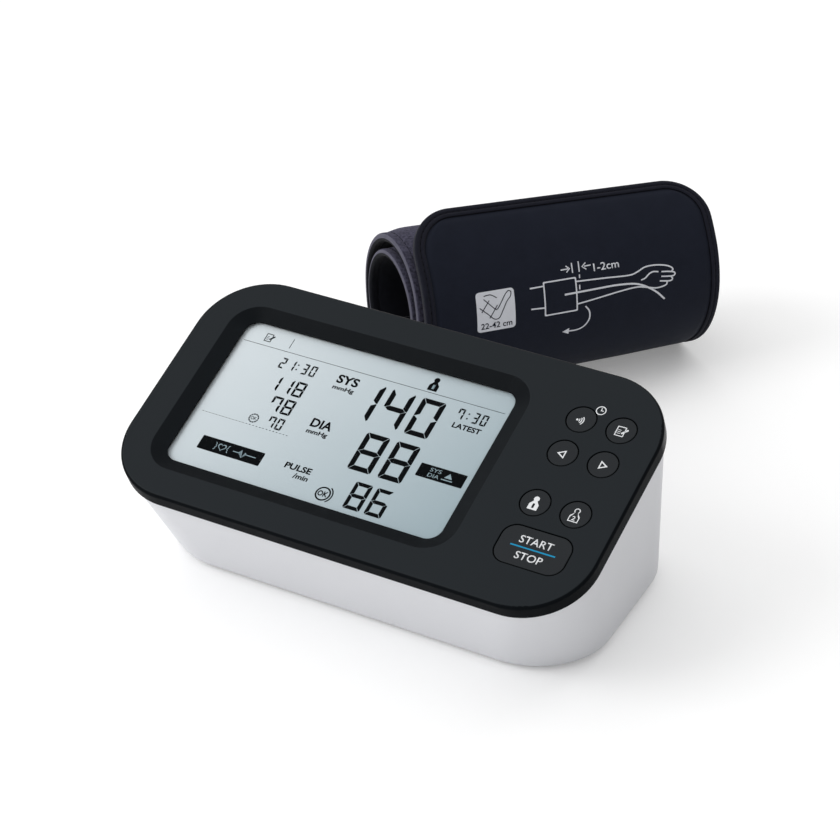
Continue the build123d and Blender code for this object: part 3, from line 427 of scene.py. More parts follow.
def hook_tape(settings):
    """Hook tape: a dense field of small stiff hooks."""
    made, tree, shader = base_material("hook_tape", IOR=1.5)
    hooks = add_node(tree, "ShaderNodeTexVoronoi",
                     {"Vector": cloth_point(tree, 900.0, 900.0), "Scale": 1.0, "Randomness": 0.35})
    dots = ranged(tree, hooks.outputs["Distance"], 0.1, 0.42, 1.0, 0.0)
    wire(tree, shader,
         Base_Color=varied(tree, dots, settings.tape, 0.7, 2.4),
         Roughness=spread(tree, dots, 0.8, 0.4),
         Normal=bump(tree, dots, 0.3 * MM))
    return made


def seen_plainly(tree):
    """One where the camera, a reflection or a clear part looks, and zero where light only falls."""
    path = add_node(tree, "ShaderNodeLightPath").outputs
    seen = maths(tree, "MAXIMUM", path["Is Camera Ray"], path["Is Glossy Ray"])
    return maths(tree, "MAXIMUM", seen, path["Is Transmission Ray"])


def floor_paper(settings):
    """Pale paper floor that the camera and reflections see as white, apart from the object's shadow."""
    made = bpy.data.materials.new("floor_paper")
    made.use_nodes = True
    tree = made.node_tree
    tree.nodes.clear()
    glow = maths(tree, "MULTIPLY", seen_plainly(tree), settings.floor_glow)
    grain = noise(tree, object_point(tree), 900.0, 2.0)
    diffuse = add_node(tree, "ShaderNodeBsdfDiffuse",
                       {"Color": varied(tree, grain, settings.floor, 0.995, 1.005)})
    white = add_node(tree, "ShaderNodeEmission", {"Color": (1, 1, 1, 1), "Strength": glow})
    both = add_node(tree, "ShaderNodeAddShader", {0: diffuse.outputs[0], 1: white.outputs[0]})
    add_node(tree, "ShaderNodeOutputMaterial", {"Surface": both.outputs[0]})
    return made


# ---------------------------------------------------------------- meshes
def new_object(name, mesh, *finishes):
    """A mesh as an object in the scene, with its materials."""
    made = bpy.data.objects.new(name, mesh)
    bpy.context.scene.collection.objects.link(made)
    for finish in finishes:
        mesh.materials.append(finish)
    return made


def mesh_from(name, points, faces, finishes, slots=None, flat_points=None):
    """A smooth mesh from points in mm. slots are the faces' finishes, flat_points places on flat cloth."""
    mesh = bpy.data.meshes.new(name)
    mesh.from_pydata([tuple(value * MM for value in point) for point in points], [], faces)
    mesh.polygons.foreach_set("use_smooth", [True] * len(mesh.polygons))
    if slots is not None:
        mesh.polygons.foreach_set("material_index", slots)
    if flat_points is not None:
        layer = mesh.uv_layers.new(name="cloth")
        for loop in mesh.loops:
            layer.data[loop.index].uv = [value * MM for value in flat_points[loop.vertex_index]]
    mesh.update()
    return new_object(name, mesh, *finishes)


def panel_frame(settings, height):
    """Matrix from the panel's own u and v, in millimetres, to the model, at a height over the face."""
    return (Matrix.Translation(settings.panel_centre)
            @ Matrix.Rotation(settings.panel_tilt, 4, "X")
            @ Matrix.Translation((0, 0, height))
            @ Matrix.Scale(MM, 4))


def outline_curve(name, loops):
    """A filled flat curve. A loop inside another is a hole."""
    curve = bpy.data.curves.new(name, "CURVE")
    curve.dimensions = "2D"
    curve.fill_mode = "BOTH"
    for loop in loops:
        spline = curve.splines.new("POLY")
        spline.points.add(len(loop) - 1)
        for point, (across, up) in zip(spline.points, loop):
            point.co = (across, up, 0, 1)
        spline.use_cyclic_u = True
    return curve


def curve_mesh(curve):
    """The filled mesh of a curve or text, and the curve removed."""
    holder = bpy.data.objects.new(curve.name, curve)
    bpy.context.scene.collection.objects.link(holder)
    bpy.context.view_layer.update()
    shown = holder.evaluated_get(bpy.context.evaluated_depsgraph_get())
    mesh = bpy.data.meshes.new_from_object(shown)
    bpy.data.objects.remove(holder)
    bpy.data.curves.remove(curve)
    return mesh


def word_mesh(text, box, weight=0.0):
    """Lettering stretched to fill a box (left, right, bottom, top)."""
    curve = bpy.data.curves.new("word", "FONT")
    curve.body = text
    curve.size = 1.0
    curve.offset = weight
    curve.resolution_u = 4
    mesh = curve_mesh(curve)
    points = np.array([vertex.co for vertex in mesh.vertices])
    low, high = points.min(0), points.max(0)
    left, right, bottom, top = box
    wide, tall = (right - left) / (high[0] - low[0]), (top - bottom) / (high[1] - low[1])
    mesh.transform(Matrix.Translation((left, bottom, 0)) @ Matrix.Diagonal((wide, tall, 1, 1))
                   @ Matrix.Translation((-low[0], -low[1], 0)))
    return mesh


def join_flat(parts):
    """One bmesh from several flat meshes."""
    joined = bmesh.new()
    for mesh in parts:
        joined.from_mesh(mesh)
        bpy.data.meshes.remove(mesh)
    return joined


def thicken(flat, thickness):
    """Gives a flat bmesh, facing up, a thickness with closed sides."""
    bmesh.ops.recalc_face_normals(flat, faces=flat.faces)
    for face in flat.faces:
        if face.normal.z < 0:
            face.normal_flip()
    rim = [edge for edge in flat.edges if edge.is_boundary]
    under = bmesh.ops.duplicate(flat, geom=flat.verts[:] + flat.edges[:] + flat.faces[:])
    twins = under["vert_map"]
    for face in [item for item in under["geom"] if isinstance(item, bmesh.types.BMFace)]:
        face.normal_flip()
    for edge in rim:
        first, second = edge.verts
        side = flat.faces.new((second, first, twins[first], twins[second]))
        side.material_index = edge.link_faces[0].material_index
    for vertex in [item for item in under["geom"] if isinstance(item, bmesh.types.BMVert)]:
        vertex.co.z -= thickness
    bmesh.ops.recalc_face_normals(flat, faces=flat.faces)


# How far the top of the ink stands over the face that it is printed on, as a share of its thickness.
INK_RISE = 1.15


def panel_print(name, settings, loops, words, finish, body, depth=0.0, weight=0.0, lift=0.0):
    """Ink on the panel, or on the display at its depth: filled outlines and words, as one piece on a body."""
    parts = []
    if loops:
        parts.append(curve_mesh(outline_curve(name, loops)))
    parts += [word_mesh(text, box, weight) for text, box in words]
    flat = join_flat(parts)
    thickness = settings.print_height / MM
    thicken(flat, thickness)
    mesh = bpy.data.meshes.new(name)
    flat.to_mesh(mesh)
    flat.free()
    mesh.transform(panel_frame(settings, -depth + (INK_RISE * thickness + lift) * MM))
    made = new_object(name, mesh, finish)
    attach(made, body)


def box_loop(left, right, bottom, top, corner=0.0, steps=5):
    """Outline of a rectangle, with round corners if asked."""
    if not corner:
        return [(left, bottom), (right, bottom), (right, top), (left, top)]
    loop = []
    centres = [(right - corner, top - corner, 0), (left + corner, top - corner, 90),
               (left + corner, bottom + corner, 180), (right - corner, bottom + corner, 270)]
    for across, up, start in centres:
        loop += arc_points((across, up), corner, start, start + 90, steps)
    return loop


def arc_points(centre, radius, start, end, steps=24):
    """Points along an arc, in degrees."""
    angles = np.radians(np.linspace(start, end, steps + 1))
    return [(centre[0] + radius * math.cos(angle), centre[1] + radius * math.sin(angle)) for angle in angles]


def ring_loops(centre, radius, stroke):
    """A ring as an outer and an inner circle."""
    sides = 48
    return [arc_points(centre, reach, 0, 360 - 360 / sides, sides - 1) for reach in (radius, radius - stroke)]


def arc_band(centre, radius, stroke, start, end, steps=16):
    """A bent stripe."""
    return (arc_points(centre, radius, start, end, steps)
            + arc_points(centre, radius - stroke, end, start, steps))


def stroke_loop(start, end, width):
    """A straight stripe between two points."""
    along = Vector((end[0] - start[0], end[1] - start[1])).normalized() * (width / 2)
    side = Vector((-along.y, along.x))
    first, last = Vector(start), Vector(end)
    return [tuple(first - side), tuple(last - side), tuple(last + side), tuple(first + side)]


# ---------------------------------------------------------------- display
SEGMENTS = {"0": "abcdef", "1": "bc", "2": "abged", "3": "abgcd", "4": "fgbc", "6": "afgedc", "7": "fabc",
            "8": "abcdefg"}


def digit_loops(digit, left, right, bottom, top, stroke, gap):
    """The lit segments of a digit, mitred at the corners with thin gaps."""
    middle, half, chamfer = (bottom + top) / 2, stroke / 2, stroke * 0.22

    def upright(edge, inner, high, low):
        """A side segment: high and low are its mitred end and its pointed end at the middle."""
        away = math.copysign(1, high - low)
        bevel = math.copysign(chamfer, inner - edge)
        return [(edge, high - away * (gap + chamfer * 1.6)), (edge + bevel, high - away * gap),
                (inner, high - away * (stroke + gap)), (inner, low + away * (half + gap)),
                ((edge + inner) / 2 - bevel, low + away * gap), (edge, low + away * gap)]

    def level(edge, away):
        """A top or bottom segment."""
        inner = edge - away * stroke
        return [(left + gap + chamfer, edge), (right - gap - chamfer, edge),
                (right - stroke - gap, inner), (left + stroke + gap, inner)]

    cross = [(left + half * 0.5 + gap, middle), (left + stroke + gap * 0.6, middle + half),
             (right - stroke - gap * 0.6, middle + half), (right - half * 0.5 - gap, middle),
             (right - stroke - gap * 0.6, middle - half), (left + stroke + gap * 0.6, middle - half)]
    shapes = {
        "a": level(top, 1), "d": level(bottom, -1), "g": cross,
        "f": upright(left, left + stroke, top, middle), "e": upright(left, left + stroke, bottom, middle),
        "b": upright(right, right - stroke, top, middle), "c": upright(right, right - stroke, bottom, middle),
    }
    return [shapes[name] for name in SEGMENTS[digit]]


def number_loops(digits, rights, width, bottom, top, stroke, gap):
    """Digits in a row. rights holds each digit's right edge."""
    loops = []
    for digit, right in zip(digits, rights):
        loops += digit_loops(digit, right - width, right, bottom, top, stroke, gap)
    return loops


def person_loop(middle, bottom, top, width, inset=0.0):
    """Outline of a round head on shoulders, drawn in by an inset."""
    head = width * 0.29 - inset
    head_up = top - width * 0.29
    half = width / 2 - inset
    base = bottom + inset
    bend_up = bottom + (top - bottom) * 0.52 - inset - width * 0.24
    bend = width * 0.2
    right_side = [(half, base), (half, bend_up)]
    right_side += arc_points((half - bend, bend_up), bend, 0, 62, 5)
    right_side.append((head * 0.62, head_up - head * 0.78))
    crown = arc_points((0, head_up), head, -50, 230, 22)
    left_side = [(-across, up) for across, up in reversed(right_side)]
    return [(middle + across, up) for across, up in right_side + crown + left_side]


def heart_loop(middle, height, width, inset=0.0):
    """Outline of a heart, on a curve that is 32 wide before it is scaled."""
    loop = []
    scale = (width / 2 - inset) / 16
    for angle in np.linspace(0, 2 * math.pi, 40, endpoint=False):
        across = 16 * math.sin(angle) ** 3
        up = 13 * math.cos(angle) - 5 * math.cos(2 * angle) - 2 * math.cos(3 * angle) - math.cos(4 * angle)
        loop.append((middle + across * scale, height + (up + 1.5) * scale))
    return loop


def brace_loops(middle, height, half_height, side, stroke=0.28):
    """A curly brace as one bent line. side is 1 where its tip points right and -1 where it points left."""
    shape = ((-0.15, 1), (0.3, 0.75), (0.3, 0.25), (0.75, 0), (0.3, -0.25), (0.3, -0.75), (-0.15, -1))
    return ribbon_loop([(middle + side * across, height + half_height * share) for across, share in shape],
                       stroke)


def ribbon_loop(points, width):
    """The outline round a bent line of even width, as a list of one loop."""
    spots = [Vector(point) for point in points]
    left, right = [], []
    for index, spot in enumerate(spots):
        before = spots[max(index - 1, 0)]
        after = spots[min(index + 1, len(spots) - 1)]
        along = (after - before).normalized()
        side = Vector((-along.y, along.x)) * (width / 2)
        left.append(tuple(spot + side))
        right.append(tuple(spot - side))
    return [left + right[::-1]]


def memo_loops(left, right, bottom, top, stroke):
    """A page with three lines of writing and a pencil across its side."""
    span, rise = right - left, top - bottom
    page_right = left + span * 0.76
    loops = [box_loop(left, page_right, bottom, top, stroke * 0.6),
             box_loop(left + stroke, page_right - stroke, bottom + stroke, top - stroke)]
    for share in (0.28, 0.45, 0.62):
        height = bottom + rise * share
        loops.append(box_loop(left + 1.7 * stroke, left + span * 0.42,
                              height - stroke * 0.3, height + stroke * 0.3))
    loops.append(stroke_loop((left + span * 0.52, bottom + rise * 0.30),
                             (left + span * 0.95, bottom + rise * 0.80), stroke * 1.9))
    return loops


# The display's numbers: digits, their right edges, and each digit's width, bottom, top, stroke and gap.
DISPLAY_NUMBERS = (
    ("140", (-12.1, 0.25, 12.75), 9.6, 5.6, 22.2, 2.05, 0.13),
    ("88", (0.25, 12.75), 9.6, -14.9, 1.7, 2.05, 0.13),
    ("86", (4.1, 12.85), 6.9, -30.6, -18.9, 1.5, 0.12),
    ("118", (-51.8, -46.6, -41.25), 4.2, 7.2, 14.0, 0.92, 0.1),
    ("78", (-46.6, -41.25), 4.2, -1.4, 5.4, 0.92, 0.1),
    ("70", (-44.75, -41.2), 2.7, -8.35, -3.25, 0.72, 0.09),
    ("2130", (-54.3, -50.4, -44.7, -41.2), 2.4, 17.3, 22.15, 0.66, 0.08),
    ("730", (20.8, 26.9, 30.35), 2.4, 17.3, 22.15, 0.66, 0.08),
)
# The display's words, each with the box that it fills: left, right, bottom and top.
DISPLAY_WORDS = (
    ("SYS", (-32.0, -23.1, 18.1, 22.0)), ("mmHg", (-32.0, -23.1, 14.7, 17.0)),
    ("DIA", (-31.7, -23.0, -2.75, 1.1)), ("mmHg", (-31.7, -23.0, -6.2, -3.8)),
    ("PULSE", (-31.7, -20.7, -22.15, -19.5)), ("/min", (-26.5, -20.4, -25.2, -23.0)),
    ("LATEST", (18.8, 30.2, 13.5, 15.8)), ("OK", (-14.2, -10.1, -28.9, -26.6)),
)


def display_numbers():
    """The display's digits, the clocks' colons, the upper line, the ring round the OK sign and the user."""
    loops = []
    for row in DISPLAY_NUMBERS:
        loops += number_loops(*row)
    dot = 0.3
    for middle in (-49.2, 22.6):
        for height in (18.6, 20.7):
            loops.append(box_loop(middle - dot, middle + dot, height - dot, height + dot))
    loops.append(box_loop(-75.8, 34.9, 24.82, 25.0))
    ok_sign = (-12.1, -27.75)
    loops += ring_loops(ok_sign, 3.0, 0.6)
    loops.append(arc_band(ok_sign, 3.95, 0.5, -52, 58))
    loops.append(person_loop(4.35, 25.8, 31.8, 3.9))
    return loops


def badge_signs():
    """Light signs on the display's dark badges: a heart between braces with its beat, and a raised level."""
    height = -21.95
    loops = [heart_loop(-58.3, height, 3.5), heart_loop(-58.3, height, 3.5, 0.4)]
    loops += brace_loops(-61.2, height, 1.6, 1) + brace_loops(-55.4, height, 1.6, -1)
    loops += [[(26.6, -7.35), (29.7, -7.35), (28.15, -5.2)], box_loop(25.8, 30.2, -8.4, -8.0)]
    loops += ribbon_loop([(-53.4, -22.0), (-51.0, -22.0), (-50.2, -20.6), (-49.2, -23.6), (-48.3, -21.2),
                          (-47.7, -22.0), (-43.6, -22.0)], 0.34)
    return loops


def faint_signs():
    """Faint signs on the display: a dotted line, the memo sign with a stroke beside it, and a broken ring."""
    loops = [box_loop(spot - 0.24, spot + 0.24, -9.5, -9.2) for spot in np.arange(-73.8, -36.5, 1.45)]
    loops += memo_loops(-68.2, -64.3, 26.8, 30.5, 0.34)
    loops.append(box_loop(-56.85, -56.6, 26.6, 31.0))
    for start in range(0, 360, 30):
        loops.append(arc_band((-53.5, -6.3), 2.05, 0.5, start + 3, start + 27, 4))
    return loops


def display_print(settings):
    """Everything that the display shows."""
    ink = printed_ink("segment_ink", settings.ink, 0.5)
    faint = printed_ink("faint_segments", settings.grey_ink, 0.5)
    clear = printed_ink("clear_segments", settings.display, 0.5)
    depth = settings.lcd_depth
    on_badge = settings.print_height / MM
    panel_print("display_numbers", settings, display_numbers(), [], ink, "monitor", depth)
    panel_print("display_words", settings, [], DISPLAY_WORDS, ink, "monitor", depth, weight=0.03)
    badges = [box_loop(-67.7, -41.1, -24.9, -19.0, 0.35), box_loop(15.9, 34.5, -9.6, -3.9, 0.35)]
    panel_print("display_badges", settings, badges, [], ink, "monitor", depth)
    panel_print("display_badge_signs", settings, badge_signs(),
                [("SYS", (20.3, 24.8, -6.4, -4.8)), ("DIA", (20.3, 24.8, -8.7, -7.1))],
                clear, "monitor", depth, weight=0.004, lift=on_badge)
    panel_print("display_user_number", settings, [], [("1", (3.9, 4.85, 26.6, 28.5))], clear,
                "monitor", depth, weight=0.03, lift=on_badge)
    panel_print("display_faint", settings, faint_signs(), [("OK", (-54.7, -52.3, -7.0, -5.6))], faint,
                "monitor", depth, weight=0.012)


# ---------------------------------------------------------------- keys
def link_sign():
    """Radio waves: a dot and three arcs."""
    middle = (62.75, 28.4)
    return ([arc_points(middle, 0.42, 0, 350, 20)]
            + [arc_band(middle, radius, 0.36, -42, 42, 10) for radius in (1.1, 1.85, 2.6)])


def clock_sign():
    """A clock's ring and its two hands."""
    hands = [(69.05, 35.7), (69.05, 34.4), (70.2, 34.4), (70.2, 34.7), (69.35, 34.7), (69.35, 35.7)]
    return [*ring_loops((69.2, 34.55), 1.9, 0.36), hands]


def arrow_sign(tip, back):
    """A hollow triangle that points from its back to its tip."""
    side = math.copysign(1, back - tip)
    return [[(tip, 13.15), (back, 14.95), (back, 11.35)],
            [(tip + side * 0.95, 13.15), (back - side * 0.42, 14.2), (back - side * 0.42, 12.1)]]


def key_legends(settings):
    """White signs on the keys and the clock beside them."""
    white = printed_ink("legend_ink", settings.legend)
    dark = printed_ink("legend_ground", settings.keys)
    blue = printed_ink("line_ink", settings.line)
    on_sign = settings.print_height / MM
    panel_print("legend_link", settings, link_sign(), [], white, "button_link")
    panel_print("legend_clock", settings, clock_sign(), [], white, "monitor")
    panel_print("legend_memory", settings, memo_loops(77.8, 82.3, 26.4, 30.6, 0.34), [], white,
                "button_memory")
    for name, tip, back in (("back", 62.1, 65.2), ("forward", 81.7, 78.6)):
        panel_print("legend_" + name, settings, arrow_sign(tip, back), [], white, "button_" + name)
    panel_print("legend_user_1", settings, [person_loop(64.05, -11.7, -6.05, 3.6)], [], white,
                "button_user_1")
    panel_print("legend_user_1_number", settings, [], [("1", (63.6, 64.4, -11.0, -9.1))], dark,
                "button_user_1", weight=0.03, lift=on_sign)
    outline = [person_loop(79.7, -11.75, -6.0, 3.8), person_loop(79.7, -11.75, -6.0, 3.8, 0.34)]
    panel_print("legend_user_2", settings, outline, [("2", (79.05, 80.3, -11.1, -9.3))], white,
                "button_user_2", weight=0.02)
    panel_print("legend_start", settings, [],
                [("START", (65.7, 78.35, -25.2, -22.15)), ("STOP", (66.9, 77.2, -31.65, -28.65))], white,
                "button_start_stop", weight=0.008)
    panel_print("legend_line", settings, [box_loop(63.4, 80.55, -27.08, -26.53)], [], blue,
                "button_start_stop")


# ---------------------------------------------------------------- cuff
# The wrap's first arcs: radius as a share of the flap's, and the angle where the next arc takes over.
WRAP = ((1.792, 31.0), (1.0, -84.0), (0.4159, -140.0), (1.2683, -180.0))
# Radius of the roll's first half turn, as a share of the flap's.
ROLL_SHARE = 0.6958
# How far the flap's free edge stands off the roll, and the length of cloth over which it comes down, in mm.
EDGE_RISE, EDGE_RUN = 1.2, 48.0
# Turn angles from the hinge, in degrees: where the flap ends and the rolled piece starts, how far either side
# of the hinge bend_at_hinge takes its two points, and where the rolled piece's stitches start.
FLAP_END, BEND, STITCHES_START = 12.0, 5.5, 16.0
# The loop cloth's seam: its distance from the cloth's edge, in mm.
SEAM_EDGE = 3.6
# Places of the roll's finishes in its list: loop cloth, lining, painted highlight and painted shade on the
# sewn edges.
LOOP, LINING, EDGE_HIGHLIGHT, EDGE_SHADE = range(4)


# One arc of the wrap: its centre (front, up), its radius, the turn angles where it starts and ends, and the
# length of cloth before it.
Arc = namedtuple("Arc", "centre radius start end run")


class Roll:
    """The wrapped cuff's shape, as a chain of tangent arcs from the flap's free edge inwards."""

    def __init__(self, settings):
        self.width = settings.width / MM
        self.thickness = settings.thickness / MM
        self.narrowing = settings.narrowing
        self.place = Matrix.Translation(settings.left_end) @ Matrix.Rotation(settings.heading, 4, "Z")
        self.seam = math.degrees(settings.seam)
        self.hinge = self.seam - math.degrees(settings.hinge)
        self.end = self.seam - math.degrees(settings.last)
        flap = settings.radius / MM
        links = [(share * flap, angle) for share, angle in WRAP]
        for index in range(settings.turns):
            links.append((ROLL_SHARE * flap - index * settings.pitch / MM / 2, -180.0 * (index + 2)))
        self.arcs = []
        centre = self.shifted((0.0, flap), flap - links[0][0], links[0][1])
        start, run = self.seam, 0.0
        for index, (radius, angle) in enumerate(links):
            self.arcs.append(Arc(centre, radius, self.seam - start, self.seam - angle, run))
            run += math.radians(start - angle) * radius
            if index + 1 < len(links):
                centre = self.shifted(centre, radius - links[index + 1][0], angle)
            start = angle

    @staticmethod
    def shifted(centre, distance, angle):
        """A point at a distance and an angle in degrees from a centre."""
        return (centre[0] + distance * math.cos(math.radians(angle)),
                centre[1] + distance * math.sin(math.radians(angle)))

    def arc(self, turned):
        """The arc that holds a turn angle, in degrees from the free edge inwards along the cloth."""
        for arc in self.arcs:
            if turned <= arc.end:
                return arc
        return self.arcs[-1]

    def point(self, turned, along, depth):
        """Point in millimetres at a turn angle, a place along the roll and a depth under the cloth's face."""
        arc = self.arc(turned)
        depth -= EDGE_RISE * smooth(1 - self.run(turned) / EDGE_RUN)
        front, up = self.shifted(arc.centre, arc.radius - depth, self.seam - turned)
        share = 1 - (1 - self.narrowing) * along / self.width
        spot = self.place @ Vector((along * MM, -front * share * MM, up * share * MM))
        return spot / MM

    def run(self, turned):
        """Length of cloth from the free edge to a turn angle."""
        arc = self.arc(turned)
        return arc.run + math.radians(turned - arc.start) * arc.radius

    def turned(self, run):
        """Turn angle at a length of cloth from the free edge."""
        for arc in self.arcs:
            if run <= arc.run + math.radians(arc.end - arc.start) * arc.radius:
                break
        return arc.start + math.degrees((run - arc.run) / arc.radius)


def smooth(value):
    """Smooth step from 0 to 1."""
    value = max(0.0, min(1.0, value))
    return value * value * (3 - 2 * value)


# Waves of the padded cloth's unevenness: per mm along the roll, per mm of cloth, per seed, and their share.
WAVES = ((0.083, 0.045, 1.0, 0.5), (0.031, -0.12, 2.3, 0.3), (0.19, 0.021, 0.7, 0.2))


def ripple(along, run, seed):
    """Slow unevenness of padded cloth, between about -1 and 1."""
    return sum(math.sin(along * by_along + run * by_run + seed * by_seed) * share
               for by_along, by_run, by_seed, share in WAVES)


def padded_half(edge, middle_thickness):
    """Half the cloth's thickness at a distance from its sewn edge: rim, seam groove, padded middle."""
    rim, rim_width = 1.5, 1.1
    if edge < rim_width:
        return rim * math.sqrt(max(0.0, 1 - (1 - edge / rim_width) ** 2))
    groove = 0.3 * math.exp(-((edge - SEAM_EDGE) / 0.45) ** 2)
    rise = (middle_thickness / 2 - rim) * smooth((edge - 3.8) / 5.0)
    return rim - groove + rise


def profile_places(width):
    """Places across the cloth, closer together near the sewn edges."""
    near = [0.0, 0.05, 0.18, 0.42, 0.8, 1.2, 2.0, 2.9, 3.3, SEAM_EDGE, 3.9, 4.5, 5.5, 7.0, 9.0, 11.5]
    even = 15.0
    return near + list(np.linspace(even, width - even, 27)) + [width - spot for spot in reversed(near)]


def slipped(turned):
    """How far the inner turns have slipped out at the left end of the roll, in mm."""
    return 1.2 * smooth((turned - 330) / 120)


def between(turned, start, rise, end, fall):
    """One between two turn angles, reached and left gently over a rise and a fall in degrees."""
    return smooth((turned - start) / rise) * smooth((end - turned) / fall)


def outer_swell(turned, edge):
    """How far the turns stand out over the back and the top of the roll, at a distance from the sewn edge."""
    outer_turn = between(turned, 180, 60, 404, 70)
    next_turn = between(turned, 430, 50, 600, 60)
    return outer_turn * (1.3 + 0.6 * smooth((edge - 2.2) / 10)) + 0.9 * next_turn


def tube_quads(rows, ring, start=0):
    """Faces round a tube: rows of ring points each, numbered from start."""
    quads = []
    for row in range(rows - 1):
        first, second = start + row * ring, start + (row + 1) * ring
        for column in range(ring):
            after = (column + 1) % ring
            quads.append((first + column, first + after, second + after, second + column))
    return quads


def sheet_quads(rows, columns, start=0):
    """Faces of a sheet: rows of columns points each, numbered from start."""
    bases = [start + row * columns + column for row in range(rows - 1) for column in range(columns - 1)]
    return [(base, base + 1, base + columns + 1, base + columns) for base in bases]


def rim_quads(rows, columns):
    """Faces that join the border of a sheet to the border of a second one, numbered on from the first."""
    spots = [(0, column) for column in range(columns)] + [(row, columns - 1) for row in range(1, rows)]
    spots += [(rows - 1, column) for column in range(columns - 2, -1, -1)]
    spots += [(row, 0) for row in range(rows - 2, 0, -1)]
    border = [row * columns + column for row, column in spots]
    below = rows * columns
    return [(first, first + below, second + below, second)
            for first, second in zip(border, border[1:] + border[:1])]


def cuff_roll(settings, finishes):
    """The cuff's rolled part: brushed loop cloth outside, lining inside, padded between its sewn edges."""
    roll = Roll(settings)
    places = profile_places(roll.width)
    count = len(places)
    step, rounded, inner_share = 3.2, 2.2, 0.55
    angles = list(np.arange(roll.hinge + FLAP_END, roll.end - 3.0, step))
    angles += [roll.end - rounded, roll.end - 1.2, roll.end - 0.5, roll.end]
    points, flat_points = [], []
    for angle in angles:
        run = roll.run(angle)
        inner_end = 1.0
        if angle >= roll.end - rounded:
            inner_end = math.sqrt(max(0.02, (roll.end - angle) / rounded))
        for face in (1, -1):
            for spot in (places if face > 0 else places[::-1]):
                edge = min(spot, roll.width - spot)
                half = padded_half(edge, roll.thickness) * inner_end
                swell = 0.2 * ripple(spot, run, 1.0) * smooth(edge / 14)
                out = outer_swell(angle, edge) * (1.0 if face > 0 else inner_share)
                depth = roll.thickness / 2 - face * half + swell - out
                points.append(roll.point(angle, spot - slipped(angle), depth))
                flat_points.append((run, spot))
    ring = 2 * count
    faces = tube_quads(len(angles), ring)
    # Painted highlight and painted shade along the sewn edges come from cloth_slot.
    slots = [cloth_slot(column, places, roll.width) for column in range(ring)] * (len(angles) - 1)
    last = (len(angles) - 1) * ring
    for column in range(count - 1):
        mirror = ring - 1 - column
        faces.append((last + column, last + column + 1, last + mirror - 1, last + mirror))
        faces.append((mirror, mirror - 1, column + 1, column))
        # The inner end's cap takes the painted shade, the start's cap the lining.
        slots += [EDGE_SHADE, LINING]
    made = mesh_from("cuff_roll", points, faces, finishes, slots, flat_points)
    tidy_mesh(made)
    return made, roll


def cloth_slot(column, places, width):
    """Finish of a strip of the roll: loop cloth, lining, a painted highlight at the edge or painted shade
    beside it.
    """
    last = 2 * len(places) - 1
    outside = column < len(places) - 1 or column == last
    spot = places[column] if column < len(places) else places[last - column]
    edge = min(spot, width - spot)
    # A thin painted highlight right at the outer face's edge; painted shade next to it and on the inner side.
    if edge < 0.85 and (edge < 0.42 or not outside):
        return EDGE_HIGHLIGHT if outside else EDGE_SHADE
    return LOOP if outside else LINING


def tidy_mesh(made):
    """Joins doubled points and turns all faces outwards."""
    work = bmesh.new()
    work.from_mesh(made.data)
    bmesh.ops.remove_doubles(work, verts=work.verts, dist=0.02 * MM)
    bmesh.ops.dissolve_degenerate(work, edges=work.edges, dist=0.005 * MM)
    bmesh.ops.recalc_face_normals(work, faces=work.faces)
    work.to_mesh(made.data)
    work.free()


def flap_sides(roll, corner, inset, run):
    """Left and right limits of the flap at a run from its free edge, drawn in by an inset."""
    radius = corner - inset
    reach = run - inset
    cut = 0.0
    if reach < radius:
        cut = radius - math.sqrt(max(0.0, radius ** 2 - (radius - reach) ** 2))
    return inset + cut, roll.width - inset - cut


def flap_runs(inset, last_run):
    """Lengths from the free edge at which the flap's points lie, closer together near its tape."""
    near = [0.0, 0.25, 0.6, 1.1, 1.8, 2.7, 3.9, 5.4, 7.2, 9.4, 12.0]
    even_from = 19.4
    return [inset + step for step in near] + list(np.linspace(even_from, last_run, 37))


def flap_shares():
    """Places across the flap as shares of its width, closer together near its sides."""
    near = [0.0, 0.002, 0.005, 0.009, 0.015, 0.023, 0.033, 0.046, 0.062, 0.082]
    return near + list(np.linspace(0.11, 0.89, 32)) + [1 - share for share in reversed(near)]


def flap_panel(settings, roll, finish, lining):
    """The flap's coated outer cloth and its lining, padded, swollen a little by a pressure simulation."""
    corner = settings.corner / MM
    inset = settings.binding_width / MM + 0.1
    last_run = roll.run(roll.hinge + FLAP_END)
    runs, shares = flap_runs(inset, last_run), flap_shares()
    rim_half, held_edge, held_run = 1.3, 1.2, 6.0
    points, flat_points, pinned = [], [], []
    for face in (1, -1):
        for run in runs:
            left, right = flap_sides(roll, corner, inset, run)
            for share in shares:
                spot = left + (right - left) * share
                edge = min(run - inset, (spot - left) * 1.1, (right - spot) * 1.1)
                half = rim_half + (roll.thickness / 2 - 1.35) * smooth(edge / 2.6)
                swell = 0.16 * ripple(spot, run, 4.0) * smooth(edge / 10)
                depth = roll.thickness / 2 - face * half + swell
                points.append(roll.point(roll.turned(run), spot, depth))
                flat_points.append((run, spot))
                pinned.append(face < 0 or edge < held_edge or run > last_run - held_run)
    rows, columns = len(runs), len(shares)
    outer, rim = sheet_quads(rows, columns), rim_quads(rows, columns)
    inner = [quad[::-1] for quad in sheet_quads(rows, columns, rows * columns)]
    slots = [0] * len(outer) + [1] * (len(inner) + len(rim))
    made = mesh_from("flap_cloth", points, outer + inner + rim, (finish, lining), slots, flat_points)
    group = made.vertex_groups.new(name="sewn")
    group.add([index for index, held in enumerate(pinned) if held], 1.0, "REPLACE")
    tidy_mesh(made)
    swell_cloth(made)
    return made


